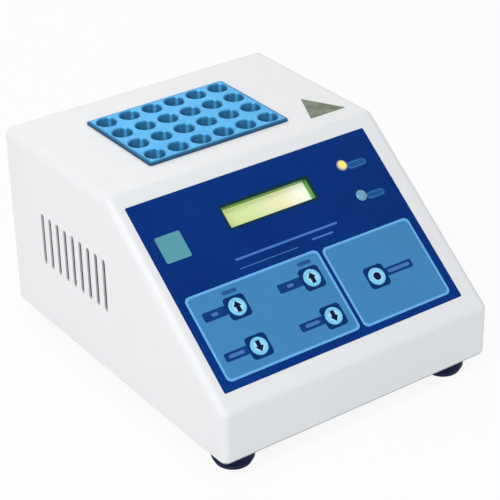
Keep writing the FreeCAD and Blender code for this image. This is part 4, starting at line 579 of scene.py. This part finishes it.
panelPrint = {
    "inkThick": 0.03,
    "holeRadius": 6.05,  # print keeps clear of the key holes
    "fields": ((13.6, 17.0, 110.4, 73.1), (112.9, 16.3, 180.3, 72.0)),
    "fieldCorner": 3.5,
    "border": 1.5,
    "surround": 14.8,  # dark square round a key
    "surroundCorner": 2.6,
    "captions": {  # dark bars beside the keys
        "temp_up_key": (19.3, 54.7, 36.2, 60.8), "temp_down_key": (19.2, 28.2, 36.2, 33.7),
        "time_up_key": (72.9, 54.6, 90.6, 60.6), "time_down_key": (73.1, 27.9, 90.6, 33.3),
        "start_key": (145.4, 41.0, 166.2, 46.4),
    },
    "captionCorner": 1.2,
    "dashes": {  # plain pale strokes on the bars
        "temp_up_key": (25.0, 56.7, 29.6, 58.9), "temp_down_key": (21.9, 29.9, 33.0, 32.1),
        "time_up_key": (79.2, 56.6, 84.0, 58.7), "time_down_key": (76.8, 29.6, 87.2, 31.8),
        "start_key": (147.6, 42.6, 164.4, 44.9),
    },
    "headings": ((37.6, 66.4, 48.2, 68.9), (92.6, 66.4, 102.6, 68.9)),
    "rules": ((57.0, 83.6, 133.0, 85.0), (111.0, 79.0, 127.0, 80.1), (57.0, 77.9, 100.0, 78.4)),
    "lampTags": ((161.0, 113.9, 175.2, 118.7), (162.4, 91.1, 175.8, 95.7)),
    "tagEdge": 0.9,
    "window": (65.4, 103.9, 129.9, 118.5),
    "windowCorner": 0.1,
    # a dark ring printed round the window, made wider to stand in for the shade on the opening's top wall:
    # partly print, partly painted shade
    "windowEdgeAndShade": 1.3,
    "shadeLining": {"deep": 1.7, "wall": 0.15},  # painted shade: a dark strip inside the window, down from the film, standing in for the shade on the opening's walls
    "patch": (15.7, 96.2, 33.2, 113.8),
    "patchCorner": 1.2,
    "colours": {
        "field": screenColour(70, 140, 196), "border": screenColour(112, 184, 242),
        "surround": screenColour(10, 52, 112), "caption": screenColour(16, 62, 132),
        "dash": screenColour(76, 122, 190), "heading": screenColour(38, 92, 156),
        "rule": screenColour(74, 128, 200), "lampTag": screenColour(34, 88, 154),
        "tagEdge": screenColour(54, 112, 172), "windowEdgeAndShade": screenColour(12, 54, 66),
        "patch": screenColour(96, 164, 176),
    },
}


def inkFinish(name, colour):
    look = dict(finishes["panel_film"], colour=colour, drift=0.95, driftSize=0.02)
    look.pop("colourTwo")
    return finish(name, look)


def keyHoles(names, radius):
    return [roundLoop(*keyCentres[name], radius) for name in names]


def inside(name, box):
    u, v = keyCentres[name]
    return box[0] < u < box[2] and box[1] < v < box[3]


def printPanel(look):
    ink = {key: inkFinish(key + "Ink", colour) for key, colour in look["colours"].items()}
    thick = look["inkThick"]
    layers = {key: [] for key in ink}
    for box in look["fields"]:
        edge, corner = look["border"], look["fieldCorner"]
        middle = roundedRect(*inset(box, edge), corner - edge / 2)
        names = [name for name in keyNames if inside(name, box)]
        layers["border"].append((0, [roundedRect(*box, corner), middle]))
        layers["field"].append((0, [middle] + keyHoles(names, look["holeRadius"])))
    for name in keyNames:
        u, v = keyCentres[name]
        square = roundedRect(*inset((u, v, u, v), -look["surround"] / 2), look["surroundCorner"])
        layers["surround"].append((2, [square] + keyHoles([name], look["holeRadius"])))
        layers["caption"].append((1, [roundedRect(*look["captions"][name], look["captionCorner"])]))
        layers["dash"].append((2, [pill(*look["dashes"][name], 0)]))
    for key, boxes, level in (("heading", look["headings"], 1), ("rule", look["rules"], 0)):
        for box in boxes:
            layers[key].append((level, [pill(*box)]))
    for box in look["lampTags"]:
        middle = pill(*inset(box, look["tagEdge"]))
        layers["tagEdge"].append((0, [pill(*box), middle]))
        layers["lampTag"].append((0, [middle]))
    layers["patch"].append((0, [roundedRect(*look["patch"], look["patchCorner"])]))
    # dark ring round the window: partly print, partly painted shade
    edge, corner = look["windowEdgeAndShade"], look["windowCorner"]
    opening = roundedRect(*look["window"], corner)
    layers["windowEdgeAndShade"].append((0, [roundedRect(*inset(look["window"], -edge), edge), opening]))
    for key, shapes in layers.items():
        whole = bmesh.new()
        for level, loops in shapes:
            part = flatShape(key, loops, thick, level * thick, panelPlace)
            whole.from_mesh(part)
            bpy.data.meshes.remove(part)
        mesh = bpy.data.meshes.new(key)
        whole.to_mesh(mesh)
        whole.free()
        addPiece(key + "_print", mesh, ink[key])
    # painted shade: a dark strip down the inside of the window's opening
    deep, wall = look["shadeLining"]["deep"], look["shadeLining"]["wall"]
    strip = [opening, roundedRect(*inset(look["window"], wall), corner)]
    shadeLining = flatShape("windowShadeLining", strip, deep, -deep, panelPlace)
    addPiece("window_shade_lining", shadeLining, ink["windowEdgeAndShade"])


printPanel(panelPrint)
print("panel printed")

# lit display: its tint runs from greenish at the left to nearly white, with faint character cells
display = {
    "start": 64.7,  # mm from the housing's left side
    "end": 126.0,
    "low": 104.1,
    "high": 118.4,
    "stops": (
        (0.0, screenColour(198, 212, 148)), (0.35, screenColour(200, 214, 152)),
        (0.55, screenColour(212, 218, 170)), (0.75, screenColour(224, 219, 174)),
        (1.0, screenColour(240, 238, 226)),
    ),
    "wallShadeDeep": 2.0,  # mm of the opening's wall over which its painted shade turns from dark to green
    # painted shade on the opening's walls, from dark at the film to green deeper down
    "wallShadeStops": (
        (0.0, screenColour(12, 54, 56)), (0.3, screenColour(18, 66, 54)), (1.0, screenColour(90, 164, 44)),
    ),
    "cells": {
        "Columns": 16, "Rows": 2, "Pitch Across": 0.00355, "Pitch Up": 0.00594,
        "Cell Width": 0.00295, "Cell Height": 0.00555, "Thickness": 0.00004,
    },
    "cellShade": 0.95,  # the cells are a little darker than the face
}


def tintDisplay(material, look, shade=1.0):
    tree = material.node_tree
    shader = tree.nodes["Principled BSDF"]
    split = tree.nodes.new("ShaderNodeSeparateXYZ")
    tree.links.new(objectPlace(tree), split.inputs[0])
    start = (panelPlace @ Vector((look["start"] * mm, 0, 0))).x
    end = (panelPlace @ Vector((look["end"] * mm, 0, 0))).x
    stops = [(place, (*(value * shade for value in colour[:3]), 1)) for place, colour in look["stops"]]
    colour = ramp(tree, spread(tree, split.outputs["X"], 0.0, 1.0, start, end), stops)
    tree.links.new(colour, shader.inputs["Base Color"])
    tree.links.new(colour, shader.inputs["Emission Color"])


def paintShadeOnWalls(look):
    # painted shade: the walls of the display's opening are painted darker towards the film, where shade
    # falls in the recess
    tree = materials["display_green"].node_tree
    height = tree.nodes.new("ShaderNodeVectorMath")
    height.operation = "DOT_PRODUCT"
    height.inputs[1].default_value = panelOut
    tree.links.new(objectPlace(tree), height.inputs[0])
    level = panelStart.dot(panelOut)
    share = spread(tree, height.outputs["Value"], 0.0, 1.0, level, level - look["wallShadeDeep"] * mm)
    tree.links.new(ramp(tree, share, look["wallShadeStops"]), tree.nodes["Principled BSDF"].inputs["Base Color"])


def cellTree(look, material):
    # a grid of small flat boxes
    tree = bpy.data.node_groups.new("displayCells", "GeometryNodeTree")
    tree.interface.new_socket("Geometry", in_out="OUTPUT", socket_type="NodeSocketGeometry")
    sockets = {}
    for name, value in look.items():
        kind = "NodeSocketInt" if isinstance(value, int) else "NodeSocketFloat"
        sockets[name] = tree.interface.new_socket(name, in_out="INPUT", socket_type=kind)
    source = tree.nodes.new("NodeGroupInput")
    grid = tree.nodes.new("GeometryNodeMeshGrid")
    for count, pitch, side, points in (("Columns", "Pitch Across", "Size X", "Vertices X"),
                                       ("Rows", "Pitch Up", "Size Y", "Vertices Y")):
        gaps = addMath(tree, "SUBTRACT", source.outputs[count], 1)
        tree.links.new(addMath(tree, "MULTIPLY", gaps, source.outputs[pitch]), grid.inputs[side])
        tree.links.new(source.outputs[count], grid.inputs[points])
    size = tree.nodes.new("ShaderNodeCombineXYZ")
    for name, axis in (("Cell Width", "X"), ("Cell Height", "Y"), ("Thickness", "Z")):
        tree.links.new(source.outputs[name], size.inputs[axis])
    cell = tree.nodes.new("GeometryNodeMeshCube")
    tree.links.new(size.outputs[0], cell.inputs["Size"])
    copies = tree.nodes.new("GeometryNodeInstanceOnPoints")
    tree.links.new(grid.outputs["Mesh"], copies.inputs["Points"])
    tree.links.new(cell.outputs["Mesh"], copies.inputs["Instance"])
    real = tree.nodes.new("GeometryNodeRealizeInstances")
    tree.links.new(copies.outputs["Instances"], real.inputs["Geometry"])
    coat = tree.nodes.new("GeometryNodeSetMaterial")
    coat.inputs["Material"].default_value = material
    tree.links.new(real.outputs["Geometry"], coat.inputs["Geometry"])
    output = tree.nodes.new("NodeGroupOutput")
    tree.links.new(coat.outputs["Geometry"], output.inputs["Geometry"])
    return tree, {name: socket.identifier for name, socket in sockets.items()}


def drawCells(look):
    material = finish("displayCellInk", finishes["display_face"])
    tintDisplay(material, look, look["cellShade"])
    tree, identifiers = cellTree(look["cells"], material)
    holder = bpy.data.objects.new("cellHolder", bpy.data.meshes.new("cellHolder"))
    scene.collection.objects.link(holder)
    modifier = holder.modifiers.new("cells", "NODES")
    modifier.node_group = tree
    for name, value in look["cells"].items():
        modifier[identifiers[name]] = value
    bpy.context.view_layer.update()
    mesh = bpy.data.meshes.new_from_object(holder.evaluated_get(bpy.context.evaluated_depsgraph_get()))
    bpy.data.objects.remove(holder)
    face = [panelPlace.inverted() @ vertex.co for vertex in nodes["display_glass"].data.vertices]
    middle = Vector(((look["start"] + look["end"]) / 2 * mm, (look["low"] + look["high"]) / 2 * mm,
                     max(point.z for point in face) + look["cells"]["Thickness"] / 2))
    mesh.transform(panelPlace @ Matrix.Translation(middle))
    addPiece("display_cells", mesh, material)


tintDisplay(materials["display_face"], display)
paintShadeOnWalls(display)
drawCells(display)
print("display drawn")

# marks on the keys: an arrow up or down, or a dot
keyMarks = {
    "dish": 0.4,  # the middle of a key lies this far below its ring
    "thick": 0.12,
    "arrow": ((-2.8, 0.3), (-1.4, 0.0), (-1.4, -3.5), (1.4, -3.5), (1.4, 0.0), (2.8, 0.3), (0, 3.7)),
    "dot": 2.6,
    "middle": 3.7,  # pale disc under the mark
    "colour": screenColour(8, 26, 62),
    "middleColour": screenColour(176, 230, 252),
}


def markKeys(look):
    dark = inkFinish("keyMarkInk", look["colour"])
    pale = inkFinish("keyMiddleInk", look["middleColour"])
    for name in keyNames:
        u, v = keyCentres[name]
        node = nodes[name]
        top = max((panelPlace.inverted() @ vertex.co).z for vertex in node.data.vertices) / mm
        floor = top - look["dish"]
        if name == "start_key":
            mark = roundLoop(u, v, look["dot"])
        else:
            way = 1 if "_up_" in name else -1
            mark = [(u + x * way, v + y * way) for x, y in look["arrow"]]
        disc = flatShape(name, [roundLoop(u, v, look["middle"])], look["thick"] / 2, floor, panelPlace)
        addPiece(name + "_disc", disc, pale, name)
        symbol = flatShape(name, [mark], look["thick"], floor, panelPlace)
        addPiece(name + "_mark", symbol, dark, name)


markKeys(keyMarks)
print("keys marked")
